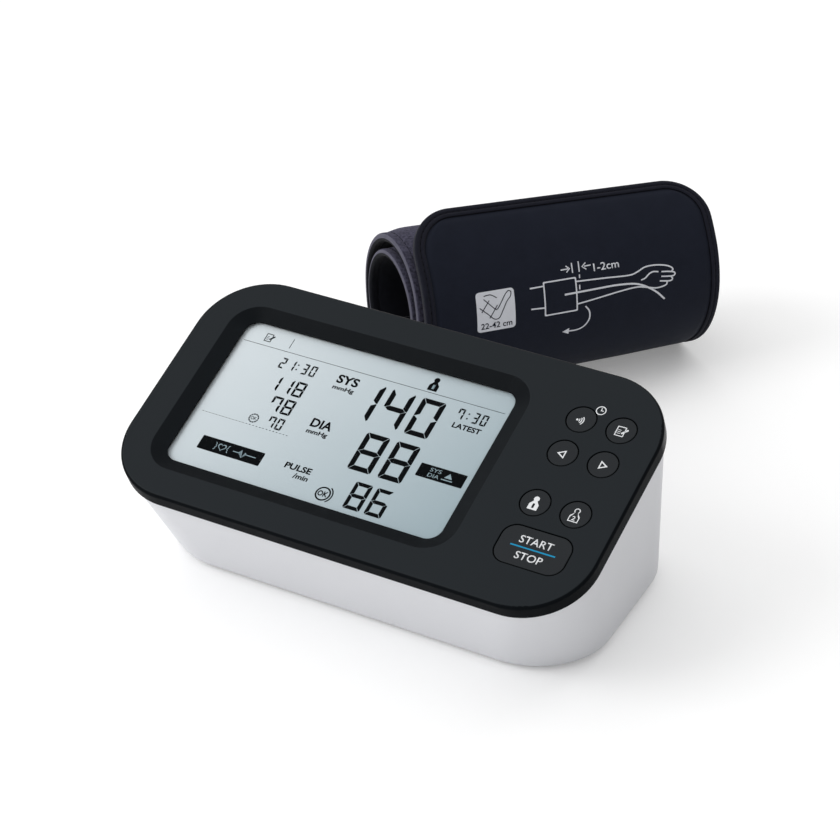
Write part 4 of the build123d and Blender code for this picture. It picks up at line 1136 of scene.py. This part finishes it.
def swell_cloth(made, frames=20, limit=0.9):
    """Blows the padded cloth up a little between its seams, and caps how far any point moves, in mm."""
    mesh = made.data
    rest = np.array([vertex.co for vertex in mesh.vertices])
    cloth = made.modifiers.new("swell", "CLOTH")
    cloth.settings.vertex_group_mass = "sewn"
    cloth.settings.use_pressure = True
    cloth.settings.uniform_pressure_force = 3.0
    cloth.settings.effector_weights.gravity = 0.0
    cloth.settings.quality = 6
    cloth.settings.mass = 0.3
    cloth.settings.tension_stiffness = 40
    cloth.settings.compression_stiffness = 40
    cloth.settings.shear_stiffness = 20
    cloth.settings.bending_stiffness = 6
    cloth.collision_settings.use_collision = False
    cloth.point_cache.frame_start, cloth.point_cache.frame_end = 1, frames
    scene = bpy.context.scene
    for step in range(1, frames + 1):
        scene.frame_set(step)
    shown = made.evaluated_get(bpy.context.evaluated_depsgraph_get())
    moved = np.array([vertex.co for vertex in shown.data.vertices])
    made.modifiers.remove(cloth)
    scene.frame_set(1)
    change = moved - rest
    reach = np.linalg.norm(change, axis=1)
    top = limit * MM
    change *= np.where(reach > top, top / np.maximum(reach, 1e-12), 1.0)[:, None]
    mesh.vertices.foreach_set("co", (rest + change).ravel())
    mesh.update()


def edge_path(roll, corner, inset, last_run, step=2.6, corner_step=1.6):
    """Places down the flap's left side, round its free edge and back: run, along, and the way inwards."""
    radius = corner - inset

    def corner_arc(centre_along, start, end):
        steps = max(6, int(radius * math.pi / 2 / corner_step))
        angles = np.radians(np.linspace(start, end, steps + 1))[1:-1]
        return [(corner - radius * math.sin(angle), centre_along + radius * math.cos(angle),
                 math.sin(angle), -math.cos(angle)) for angle in angles]

    side = np.linspace(last_run, corner, int((last_run - corner) / step))
    free_edge = np.linspace(corner, roll.width - corner, int((roll.width - 2 * corner) / step))
    return ([(run, inset, 0.0, 1.0) for run in side] + corner_arc(corner, 180, 90)
            + [(inset, along, 1.0, 0.0) for along in free_edge] + corner_arc(roll.width - corner, 90, 0)
            + [(run, roll.width - inset, 0.0, -1.0) for run in side[::-1]])


# The tape's section: inset from the edge, depth under the flap's face and finish of the strip that follows.
# Finish 1 is painted shade: the tape darkened in its groove and where it goes under the flap's cloth.
BINDING_SECTION = [
    (4.35, 1.0, 1), (4.3, 0.6, 1), (4.1, 0.22, 0), (3.7, 0.02, 0), (3.2, -0.04, 0), (2.7, 0.04, 0),
    (2.45, 0.3, 1), (2.3, 0.42, 1), (2.15, 0.3, 0), (1.9, 0.03, 0), (1.4, -0.04, 0), (0.9, 0.02, 0),
    (0.4, 0.22, 0), (0.12, 0.6, 0), (0.0, 1.2, 0), (0.0, 2.0, 0), (0.0, 2.8, 0), (0.12, 3.4, 0),
    (0.4, 3.78, 0), (0.9, 3.98, 0), (2.0, 4.04, 0), (3.2, 4.0, 0), (4.1, 3.8, 0), (4.3, 3.4, 1),
    (4.35, 3.0, 1)]
# Inset of the groove along the tape's middle, where it is stitched.
GROOVE_INSET = 2.3


def flap_binding(settings, roll, finishes):
    """Tape folded round the flap's free edge and sides, with a stitched groove along its middle and painted
    shade in it.
    """
    path = edge_path(roll, settings.corner / MM, 0.0, roll.run(roll.hinge + FLAP_END))
    points, flat_points = [], []
    travelled = 0.0
    for index, (run, along, inward_run, inward_along) in enumerate(path):
        if index:
            travelled += math.hypot(run - path[index - 1][0], along - path[index - 1][1])
        flat_run = 0.0
        for number, (inset, depth, _) in enumerate(BINDING_SECTION):
            if number:
                before = BINDING_SECTION[number - 1]
                flat_run += math.hypot(inset - before[0], depth - before[1])
            here = run + inward_run * inset
            points.append(roll.point(roll.turned(here), along + inward_along * inset, depth))
            flat_points.append((travelled, flat_run))
    ring, last = len(BINDING_SECTION), len(path) - 1
    faces = tube_quads(len(path), ring)
    faces += [tuple(range(ring))[::-1], tuple(last * ring + column for column in range(ring))]
    slots = [finish for _, _, finish in BINDING_SECTION] * last + [0, 0]
    made = mesh_from("flap_tape", points, faces, finishes, slots, flat_points)
    tidy_mesh(made)
    return made


STITCH_SIDES = 6
STITCH_SHARES = (0.0, 0.25, 0.5, 0.75, 1.0)


def stitch_points(at, start, length, total, radius):
    """Rings of points along one stitch, which rises out of the cloth between its ends."""
    points = []
    for share in STITCH_SHARES:
        here = at(start + share * length)
        spot, out = Vector(here[:3]), Vector(here[3:]).normalized()
        ahead = Vector(at(min(total, start + share * length + 0.3))[:3])
        along = (ahead - spot).normalized()
        side = along.cross(out).normalized()
        rise = math.sin(math.pi * share) * 0.16 - 0.05
        for corner in range(STITCH_SIDES):
            angle = 2 * math.pi * corner / STITCH_SIDES
            points.append(spot + out * (rise + radius * math.sin(angle)) + side * radius * math.cos(angle))
    return points


def stitch_rows(name, rows, finish, radius=0.17, length=2.1, gap=0.7):
    """Sewing stitches: short threads that dip into the cloth at both ends. A row is lifted places."""
    points, faces = [], []
    rings = len(STITCH_SHARES)
    for row in rows:
        spots = [Vector(spot) for spot in row]
        reach = [0.0]
        for first, second in zip(spots, spots[1:]):
            reach.append(reach[-1] + (second - first).length)
        parts = np.array([tuple(spot) for spot in spots]).T

        def at(distance):
            return Vector([np.interp(distance, reach, part) for part in parts])

        total, start = reach[-1], gap
        while start + length < total:
            base = len(points)
            points += stitch_points(at, start, length, total, radius)
            faces += tube_quads(rings, STITCH_SIDES, base)
            faces.append(tuple(base + corner for corner in range(STITCH_SIDES))[::-1])
            faces.append(tuple(base + (rings - 1) * STITCH_SIDES + corner for corner in range(STITCH_SIDES)))
            start += length + gap
    made = mesh_from(name, points, faces, (finish,))
    tidy_mesh(made)
    return made


def lifted(roll, turned, along, depth):
    """Six numbers: a point at a depth in the cloth, and the direction out of the cloth."""
    spot = roll.point(turned, along, depth)
    out = spot - roll.point(turned, along, depth + 1.0)
    return (*spot, *out)


def flap_stitches(settings, roll, finish):
    """Stitches in the tape's groove, on its outer and its inner side."""
    outer, inner, short_of_hinge = 0.36, 4.05, 5
    last_run = roll.run(roll.hinge) - short_of_hinge
    path = edge_path(roll, settings.corner / MM, GROOVE_INSET, last_run, step=1.8)
    rows = [[lifted(roll, roll.turned(run), along, depth) for run, along, _, _ in path]
            for depth in (outer, inner)]
    return stitch_rows("flap_stitches", rows, finish)


def roll_stitches(roll, finish):
    """Stitches along the roll's sewn edges, on the loop cloth's side."""
    middle, half = roll.thickness / 2, padded_half(SEAM_EDGE, roll.thickness)
    rows = []
    for along in (SEAM_EDGE, roll.width - SEAM_EDGE):
        rows.append([])
        for angle in np.arange(roll.hinge + STITCHES_START, roll.end - 4.0, 3.0):
            depth = middle - half - outer_swell(angle, SEAM_EDGE)
            rows[-1].append(lifted(roll, angle, along - slipped(angle), depth))
    return stitch_rows("roll_stitches", rows, finish, radius=0.15)


def hook_panel(roll, finish):
    """Hook tape sewn inside the flap, near its free edge."""
    first, length, width = 10.0, 44.0, 96.0
    margin = (roll.width - width) / 2
    outer, inner = roll.thickness + 0.02, roll.thickness + 0.4
    runs = np.linspace(first, first + length, 18)
    spots = np.linspace(margin, roll.width - margin, 30)
    points, flat_points = [], []
    for depth in (inner, outer):
        for run in runs:
            for spot in spots:
                edge = min(run - first, first + length - run, spot - margin, roll.width - margin - spot)
                sunk = 0.2 if edge < 1.0 and depth == inner else 0.0
                points.append(roll.point(roll.turned(run), spot, depth - sunk))
                flat_points.append((run, spot))
    columns, rows = len(spots), len(runs)
    faces = sheet_quads(rows, columns) + sheet_quads(rows, columns, rows * columns) + rim_quads(rows, columns)
    made = mesh_from("hook_tape", points, faces, (finish,), None, flat_points)
    tidy_mesh(made)
    return made


# ---------------------------------------------------------------- print on the flap
def arm_lines():
    """Bent lines of an arm and its hand, with the upper arm's two short lines on the sleeve's other side."""
    return [
        [(45.9, -38.4), (52.0, -38.3)], [(45.9, -47.2), (52.0, -47.6)],
        curved([(66.8, -38.6), (80.0, -39.2), (91.0, -39.8), (95.0, -38.9), (98.6, -37.4),
                (103.0, -37.2), (107.4, -37.9), (110.2, -39.0), (111.4, -40.3), (110.6, -41.2)]),
        curved([(106.0, -40.6), (109.2, -41.0), (111.8, -41.7), (112.1, -42.7), (110.8, -43.3),
                (105.8, -42.7)]),
        curved([(110.4, -43.5), (110.9, -44.6), (109.6, -45.3), (105.0, -44.6)]),
        curved([(108.4, -45.5), (107.6, -46.9), (103.4, -47.5), (98.6, -46.4), (94.0, -45.6),
                (86.0, -46.2), (76.0, -47.4), (66.8, -48.4)]),
        curved([(96.4, -42.8), (98.4, -42.2), (100.2, -40.7), (102.2, -40.0), (104.6, -40.4)]),
    ]


def measure_lines():
    """The distance from the sleeve to the elbow: two marks, the sleeve's own line and two arrows."""
    return [[(65.8, -30.6), (65.7, -34.8)], [(68.9, -30.4), (68.7, -34.8)],
            [(68.6, -35.9), (68.5, -37.4)], [(68.2, -40.2), (68.1, -42.2)],
            [(60.6, -32.9), (64.0, -32.8)], [(71.2, -32.8), (74.2, -32.7)],
            [(63.0, -31.5), (64.6, -32.8), (63.0, -34.2)],
            [(72.0, -31.4), (70.2, -32.8), (72.0, -34.2)]]


def arm_signs():
    """Light signs of how the cuff sits on the arm, as groups of loops (along, -run)."""
    sleeve = [box_loop(51.9, 66.9, -51.4, -36.6, 0.6), box_loop(52.5, 66.3, -50.8, -37.2, 0.4)]
    tube = curved([(61.2, -43.4), (75.0, -43.2), (86.0, -43.2), (95.0, -44.4), (102.4, -48.6),
                   (107.2, -53.4)])
    wrap = curved([(70.4, -50.0), (72.2, -52.6), (72.4, -56.2), (70.4, -59.4), (67.2, -60.8),
                   (62.8, -60.7)])
    wrap_head = [(60.4, -60.6), (63.4, -59.2), (63.4, -62.2)]
    return (line_groups(arm_lines(), 0.62) + line_groups([tube], 0.8) + line_groups([wrap], 0.62)
            + [sleeve, [wrap_head]] + line_groups(measure_lines(), 0.5))


def elbow_signs():
    """Dark signs on the light badge: a bent arm with a band round it."""
    arm = curved([(23.2, -43.0), (26.6, -46.0), (29.4, -48.5), (31.6, -48.3), (33.2, -45.6), (35.2, -42.0),
                  (37.0, -40.0), (37.4, -38.2), (36.2, -37.7), (34.6, -39.2), (33.0, -41.6), (31.0, -44.4),
                  (29.8, -44.2), (27.4, -41.8), (25.2, -39.6)])
    band = [[(24.0, -45.0), (27.6, -40.4)], [(27.4, -47.9), (31.0, -42.8)]]
    bend = curved([(25.4, -38.4), (28.4, -38.2), (31.0, -39.8)])
    return line_groups([arm, *band, bend], 0.36)


def curved(points, steps=5):
    """A smooth line through points."""
    spots = [np.array(spot, dtype=float) for spot in [points[0], *points, points[-1]]]
    line = []
    for before, first, second, after in zip(spots, spots[1:], spots[2:], spots[3:]):
        for step in range(steps):
            share = step / steps
            line.append(tuple(0.5 * (2 * first + (second - before) * share
                                     + (2 * before - 5 * first + 4 * second - after) * share ** 2
                                     + (3 * first - before - 3 * second + after) * share ** 3)))
    return [*line, tuple(points[-1])]


def line_groups(lines, width):
    """Bent lines of even width, each as a group with one loop."""
    return [ribbon_loop(line, width) for line in lines]


def subdivide(mesh, longest):
    """Cuts a flat mesh's long edges, so that it can bend."""
    work = bmesh.new()
    work.from_mesh(mesh)
    for _ in range(6):
        long_edges = [edge for edge in work.edges if edge.calc_length() > longest]
        if not long_edges:
            break
        bmesh.ops.subdivide_edges(work, edges=long_edges, cuts=1)
        bmesh.ops.triangulate(work, faces=work.faces)
    work.to_mesh(mesh)
    work.free()


# Height over the flap from which its print is dropped on it, in mm.
DROP = 4.0


def flap_print(name, roll, skin, groups, words, finish, lift=0.06, thickness=0.05):
    """Ink on the flap: laid out flat, then dropped on the finished cloth. A group's second loop is a hole."""
    parts = [curve_mesh(outline_curve(name, group)) for group in groups]
    parts += [word_mesh(text, box, 0.01) for text, box in words]
    flat = join_flat(parts)
    mesh = bpy.data.meshes.new(name)
    flat.to_mesh(mesh)
    flat.free()
    subdivide(mesh, 2.2)
    flat = bmesh.new()
    flat.from_mesh(mesh)
    thicken(flat, thickness)
    for vertex in flat.verts:
        along, run, height = vertex.co
        turned = roll.turned(-run)
        above = roll.point(turned, along, -DROP) * MM
        face = roll.point(turned, along, 0.0) * MM
        inward = (face - above).normalized()
        hit = skin.ray_cast(above, inward)[0]
        vertex.co = (face if hit is None else hit) - inward * (lift + height) * MM
    bmesh.ops.recalc_face_normals(flat, faces=flat.faces)
    flat.to_mesh(mesh)
    flat.free()
    made = new_object(name, mesh, finish)
    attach(made, "cuff_flap")


# ---------------------------------------------------------------- operators
class MONITOR_OT_plastics(bpy.types.Operator):
    """Gives the monitor's moulded parts, fittings and hidden works their finishes"""
    bl_idname = "monitor.plastics"
    bl_label = "Monitor finishes"

    def execute(self, context):
        settings = context.scene.monitor_settings
        fascia = fascia_plastic(settings)
        keys = moulded_plastic("key_plastic", settings.keys, roughness=0.47, variation=0.03, shine=0.12)
        housing = moulded_plastic("housing_plastic", settings.housing, roughness=0.44, grain=0.35,
                                  grain_depth=0.006, variation=0.012)
        works = moulded_plastic("inner_plastic", rgb(196, 196, 192), 0.5)
        black = moulded_plastic("black_nylon", rgb(26, 26, 28), 0.4)
        board = moulded_plastic("board_laminate", rgb(26, 88, 48), 0.35)
        steel = turned_metal("plated_steel", rgb(190, 190, 194), 0.32)
        feet = rubber("foot_rubber", rgb(58, 58, 62))
        hoses = rubber("hose_rubber", rgb(176, 176, 170))
        finishes = {
            "top_cover": fascia, "display_lens": window_plastic(), "lcd_glass": display_glass(settings),
            "lcd_reflector": works, "lcd_holder": works, "keypad_mat": hoses, "main_board": board,
            "board_chips": black, "board_screws": steel, "lower_housing": housing, "battery_door": housing,
            "battery_cells": moulded_plastic("cell_sleeve", rgb(46, 58, 78), 0.3), "battery_contacts": steel,
            "rubber_feet": feet, "case_screws": steel, "pump_motor": steel, "pump_head": black,
            "pump_rotor": steel, "pump_cradles": feet, "valve_body": steel, "valve_plunger": steel,
            "air_manifold": works, "air_hoses": hoses, "pressure_sensor": black,
            "air_jack": moulded_plastic("socket_plastic", rgb(150, 151, 156), 0.4), "power_jack": black,
            "cuff_port": black,
        }
        for name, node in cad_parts.items():
            finish = keys if name.startswith("button_") else finishes.get(name)
            if finish is not None:
                node.data.materials.clear()
                node.data.materials.append(finish)
        return {"FINISHED"}


class MONITOR_OT_display(bpy.types.Operator):
    """Draws the numbers, words and signs that the display shows"""
    bl_idname = "monitor.display"
    bl_label = "Display"

    def execute(self, context):
        display_print(context.scene.monitor_settings)
        return {"FINISHED"}


class MONITOR_OT_legends(bpy.types.Operator):
    """Prints the signs on the keys and beside them"""
    bl_idname = "monitor.legends"
    bl_label = "Key legends"

    def execute(self, context):
        key_legends(context.scene.monitor_settings)
        return {"FINISHED"}


class MONITOR_OT_door_grip(bpy.types.Operator):
    """Adds the raised grip ribs and the arrow to the battery door's underside"""
    bl_idname = "monitor.door_grip"
    bl_label = "Battery door grip"

    def execute(self, context):
        low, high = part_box("battery_door")
        middle = (low.x + high.x) / 2 / MM
        back, under = high.y / MM, low.z / MM
        half, near, far, pitch, corner, height = 6, 8.2, 9, 1.6, 0.35, 0.35
        loops = [box_loop(middle - half + inset, middle + half - inset,
                          back - far - pitch * step, back - near - pitch * step, corner)
                 for step, inset in enumerate((0.0, 0.5, 1.0, 1.5))]
        loops.append([(middle - 3.2, back - 17), (middle + 3.2, back - 17), (middle, back - 21.5)])
        flat = join_flat([curve_mesh(outline_curve("door_grip", loops))])
        thicken(flat, height)
        mesh = bpy.data.meshes.new("door_grip")
        flat.to_mesh(mesh)
        flat.free()
        mesh.transform(Matrix.Scale(MM, 4) @ Matrix.Translation((0, 0, under)))
        made = new_object("door_grip", mesh, bpy.data.materials["housing_plastic"])
        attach(made, "battery_door")
        return {"FINISHED"}


class CUFF_OT_cloth(bpy.types.Operator):
    """Makes the rolled cuff, its flap, tape, hook tape and sewing"""
    bl_idname = "cuff.cloth"
    bl_label = "Cuff cloth"

    def execute(self, context):
        settings = context.scene.cuff_settings
        loop = brushed_loop(settings)
        coated = coated_cloth(settings)
        lining = woven_cloth("lining_cloth", settings.lining, pitch=0.4, relief=0.03, shine=0.05)
        tape = woven_cloth("binding_tape", settings.tape, pitch=0.55, relief=0.05, shine=0.06)
        # Painted highlight along the sewn edges, and painted shade beside it in the lining's colour.
        edge = woven_cloth("edge_highlight_cloth", settings.edge, pitch=0.5, relief=0.05, shine=0.04)
        painted_edge_shade = woven_cloth("edge_shade_cloth", settings.lining, pitch=0.5, relief=0.05, shine=0.04)
        # Painted shade: the tape's colour darkened for its groove and its border under the flap's cloth.
        groove = woven_cloth("tape_groove_painted_shade", shaded(settings.tape, 0.3), pitch=0.5, relief=0.05, shine=0.02)
        thread = printed_ink("thread", settings.thread, 0.6)
        body, roll = cuff_roll(settings, (loop, lining, edge, painted_edge_shade))
        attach(body, "cuff")
        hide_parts("cuff_strap", "cuff_curler", "cuff_bladder")
        panel = flap_panel(settings, roll, coated, lining)
        binding = flap_binding(settings, roll, (tape, groove))
        for piece, node, slot in ((panel, "flap_panel", "flap_cloth"), (binding, "flap_binding", "binding")):
            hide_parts(node)
            bend_at_hinge(piece, roll)
        for piece, owner in ((flap_stitches(settings, roll, thread), "cuff_flap"),
                             (roll_stitches(roll, thread), "cuff")):
            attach(piece, owner)
        hooks = hook_panel(roll, hook_tape(settings))
        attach(hooks, "cuff_flap")
        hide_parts("hook_patch")
        return {"FINISHED"}


def bend_at_hinge(piece, roll):
    """Bakes a flap piece's transform into its mesh, after working out points either side of the hinge."""
    middle = roll.width / 2
    before = roll.point(roll.hinge + BEND, middle, roll.thickness / 2) * MM
    after = roll.point(roll.hinge - BEND, middle, roll.thickness / 2) * MM
    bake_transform(piece)


class CUFF_OT_print(bpy.types.Operator):
    """Prints the arm pictograms and sizes on the flap"""
    bl_idname = "cuff.print"
    bl_label = "Cuff print"

    def execute(self, context):
        settings = context.scene.cuff_settings
        roll = Roll(settings)
        panel = bpy.data.objects["flap_cloth"]
        work = bmesh.new()
        work.from_mesh(panel.data)
        skin = BVHTree.FromBMesh(work)
        work.free()
        light = printed_ink("flap_ink", settings.flap_print, 0.6)
        dark = printed_ink("flap_ink_dark", settings.flap_cloth, 0.6)
        badge = [[box_loop(21.9, 38.8, -53.6, -36.6, 1.5)]]
        flap_print("flap_badge", roll, skin, badge, [], light)
        flap_print("flap_lines", roll, skin, arm_signs(), [("1-2cm", (75.3, 87.0, -35.6, -32.3))], light)
        flap_print("flap_badge_signs", roll, skin, elbow_signs(),
                   [("22-42 cm", (23.5, 37.3, -52.4, -49.8))], dark, lift=0.12)
        return {"FINISHED"}


class STUDIO_OT_stage(bpy.types.Operator):
    """Sets up the floor, the lamps, the surrounding light and the camera"""
    bl_idname = "studio.stage"
    bl_label = "Stage"

    def execute(self, context):
        settings = context.scene.studio_settings
        half = settings.floor_size / 2
        mesh = bpy.data.meshes.new("floor")
        corners = [(-half, -half, 0), (half, -half, 0), (half, half, 0), (-half, half, 0)]
        mesh.from_pydata(corners, [], [(0, 1, 2, 3)])
        new_object("floor", mesh, floor_paper(settings))
        lamp("key_lamp", settings.key_light, width=1.1, position=(-1.2, -1.35, 1.4), target=(0, 0, 0.03))
        lamp("back_lamp", settings.back_light, width=1.0, position=(0.5, 1.7, 1.6), target=(0, 0, 0.05))
        surrounding_light(context.scene, settings.ambient, settings.ambient_lean)
        camera = bpy.data.cameras.new("camera")
        camera.lens = settings.lens
        camera.sensor_width = 36.0
        camera.clip_start, camera.clip_end = 0.01, 50.0
        holder = bpy.data.objects.new("camera", camera)
        context.scene.collection.objects.link(holder)
        holder.location = settings.camera_place
        holder.rotation_euler = Euler(settings.camera_turn)
        context.scene.camera = holder
        context.scene.view_settings.view_transform = "Standard"
        return {"FINISHED"}


def lamp(name, power, width, position, target):
    """A square soft lamp aimed at a point. The lengths are in metres."""
    data = bpy.data.lights.new(name, "AREA")
    data.energy = power
    data.size = width
    holder = bpy.data.objects.new(name, data)
    bpy.context.scene.collection.objects.link(holder)
    holder.location = position
    holder.rotation_euler = (Vector(target) - Vector(position)).to_track_quat("-Z", "Y").to_euler()


def surrounding_light(scene, ambient, lean):
    """Soft light from all round, brighter on one side. Camera, reflections and clear parts see white."""
    world = bpy.data.worlds.new("studio")
    scene.world = world
    world.use_nodes = True
    tree = world.node_tree
    tree.nodes.clear()
    side = reach_along(tree, add_node(tree, "ShaderNodeTexCoord").outputs["Generated"], lean)
    dim, bright = 0.1 * ambient, 1.3 * ambient
    glow = ranged(tree, side, -0.2, 1.0, dim, bright)
    strength = mixed(tree, seen_plainly(tree), glow, 1.0, "FLOAT")
    sky = add_node(tree, "ShaderNodeBackground", {"Color": (1, 1, 1, 1), "Strength": strength})
    add_node(tree, "ShaderNodeOutputWorld", {"Surface": sky.outputs[0]})


class MONITOR_PT_panel(bpy.types.Panel):
    """Lists the steps that dress the monitor"""
    bl_idname = "MONITOR_PT_panel"
    bl_label = "Blood pressure monitor"
    bl_space_type = "VIEW_3D"
    bl_region_type = "UI"
    bl_category = "Monitor"

    def draw(self, context):
        for step in STEPS:
            self.layout.operator(step)
        for name in SETTINGS:
            settings = getattr(context.scene, name)
            column = self.layout.column()
            for prop in settings.bl_rna.properties:
                if prop.identifier not in {"rna_type", "name"}:
                    column.prop(settings, prop.identifier)


STEPS = ("studio.stage", "monitor.plastics", "monitor.display", "monitor.legends", "monitor.door_grip",
         "cuff.cloth", "cuff.print")
CLASSES = (MonitorSettings, CuffSettings, StudioSettings, MONITOR_OT_plastics, MONITOR_OT_display,
           MONITOR_OT_legends, MONITOR_OT_door_grip, CUFF_OT_cloth, CUFF_OT_print, STUDIO_OT_stage,
           MONITOR_PT_panel)
SETTINGS = {"monitor_settings": MonitorSettings, "cuff_settings": CuffSettings,
            "studio_settings": StudioSettings}


def register():
    """Adds the add-on's classes and settings."""
    for item in CLASSES:
        bpy.utils.register_class(item)
    for name, group in SETTINGS.items():
        setattr(bpy.types.Scene, name, PointerProperty(type=group))


def unregister():
    """Takes them away again."""
    for name in SETTINGS:
        delattr(bpy.types.Scene, name)
    for item in reversed(CLASSES):
        bpy.utils.unregister_class(item)


def main():
    """Registers the add-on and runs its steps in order."""
    register()
    for step in STEPS:
        group, name = step.split(".")
        getattr(getattr(bpy.ops, group), name)()


if __name__ == "__main__":
    main()
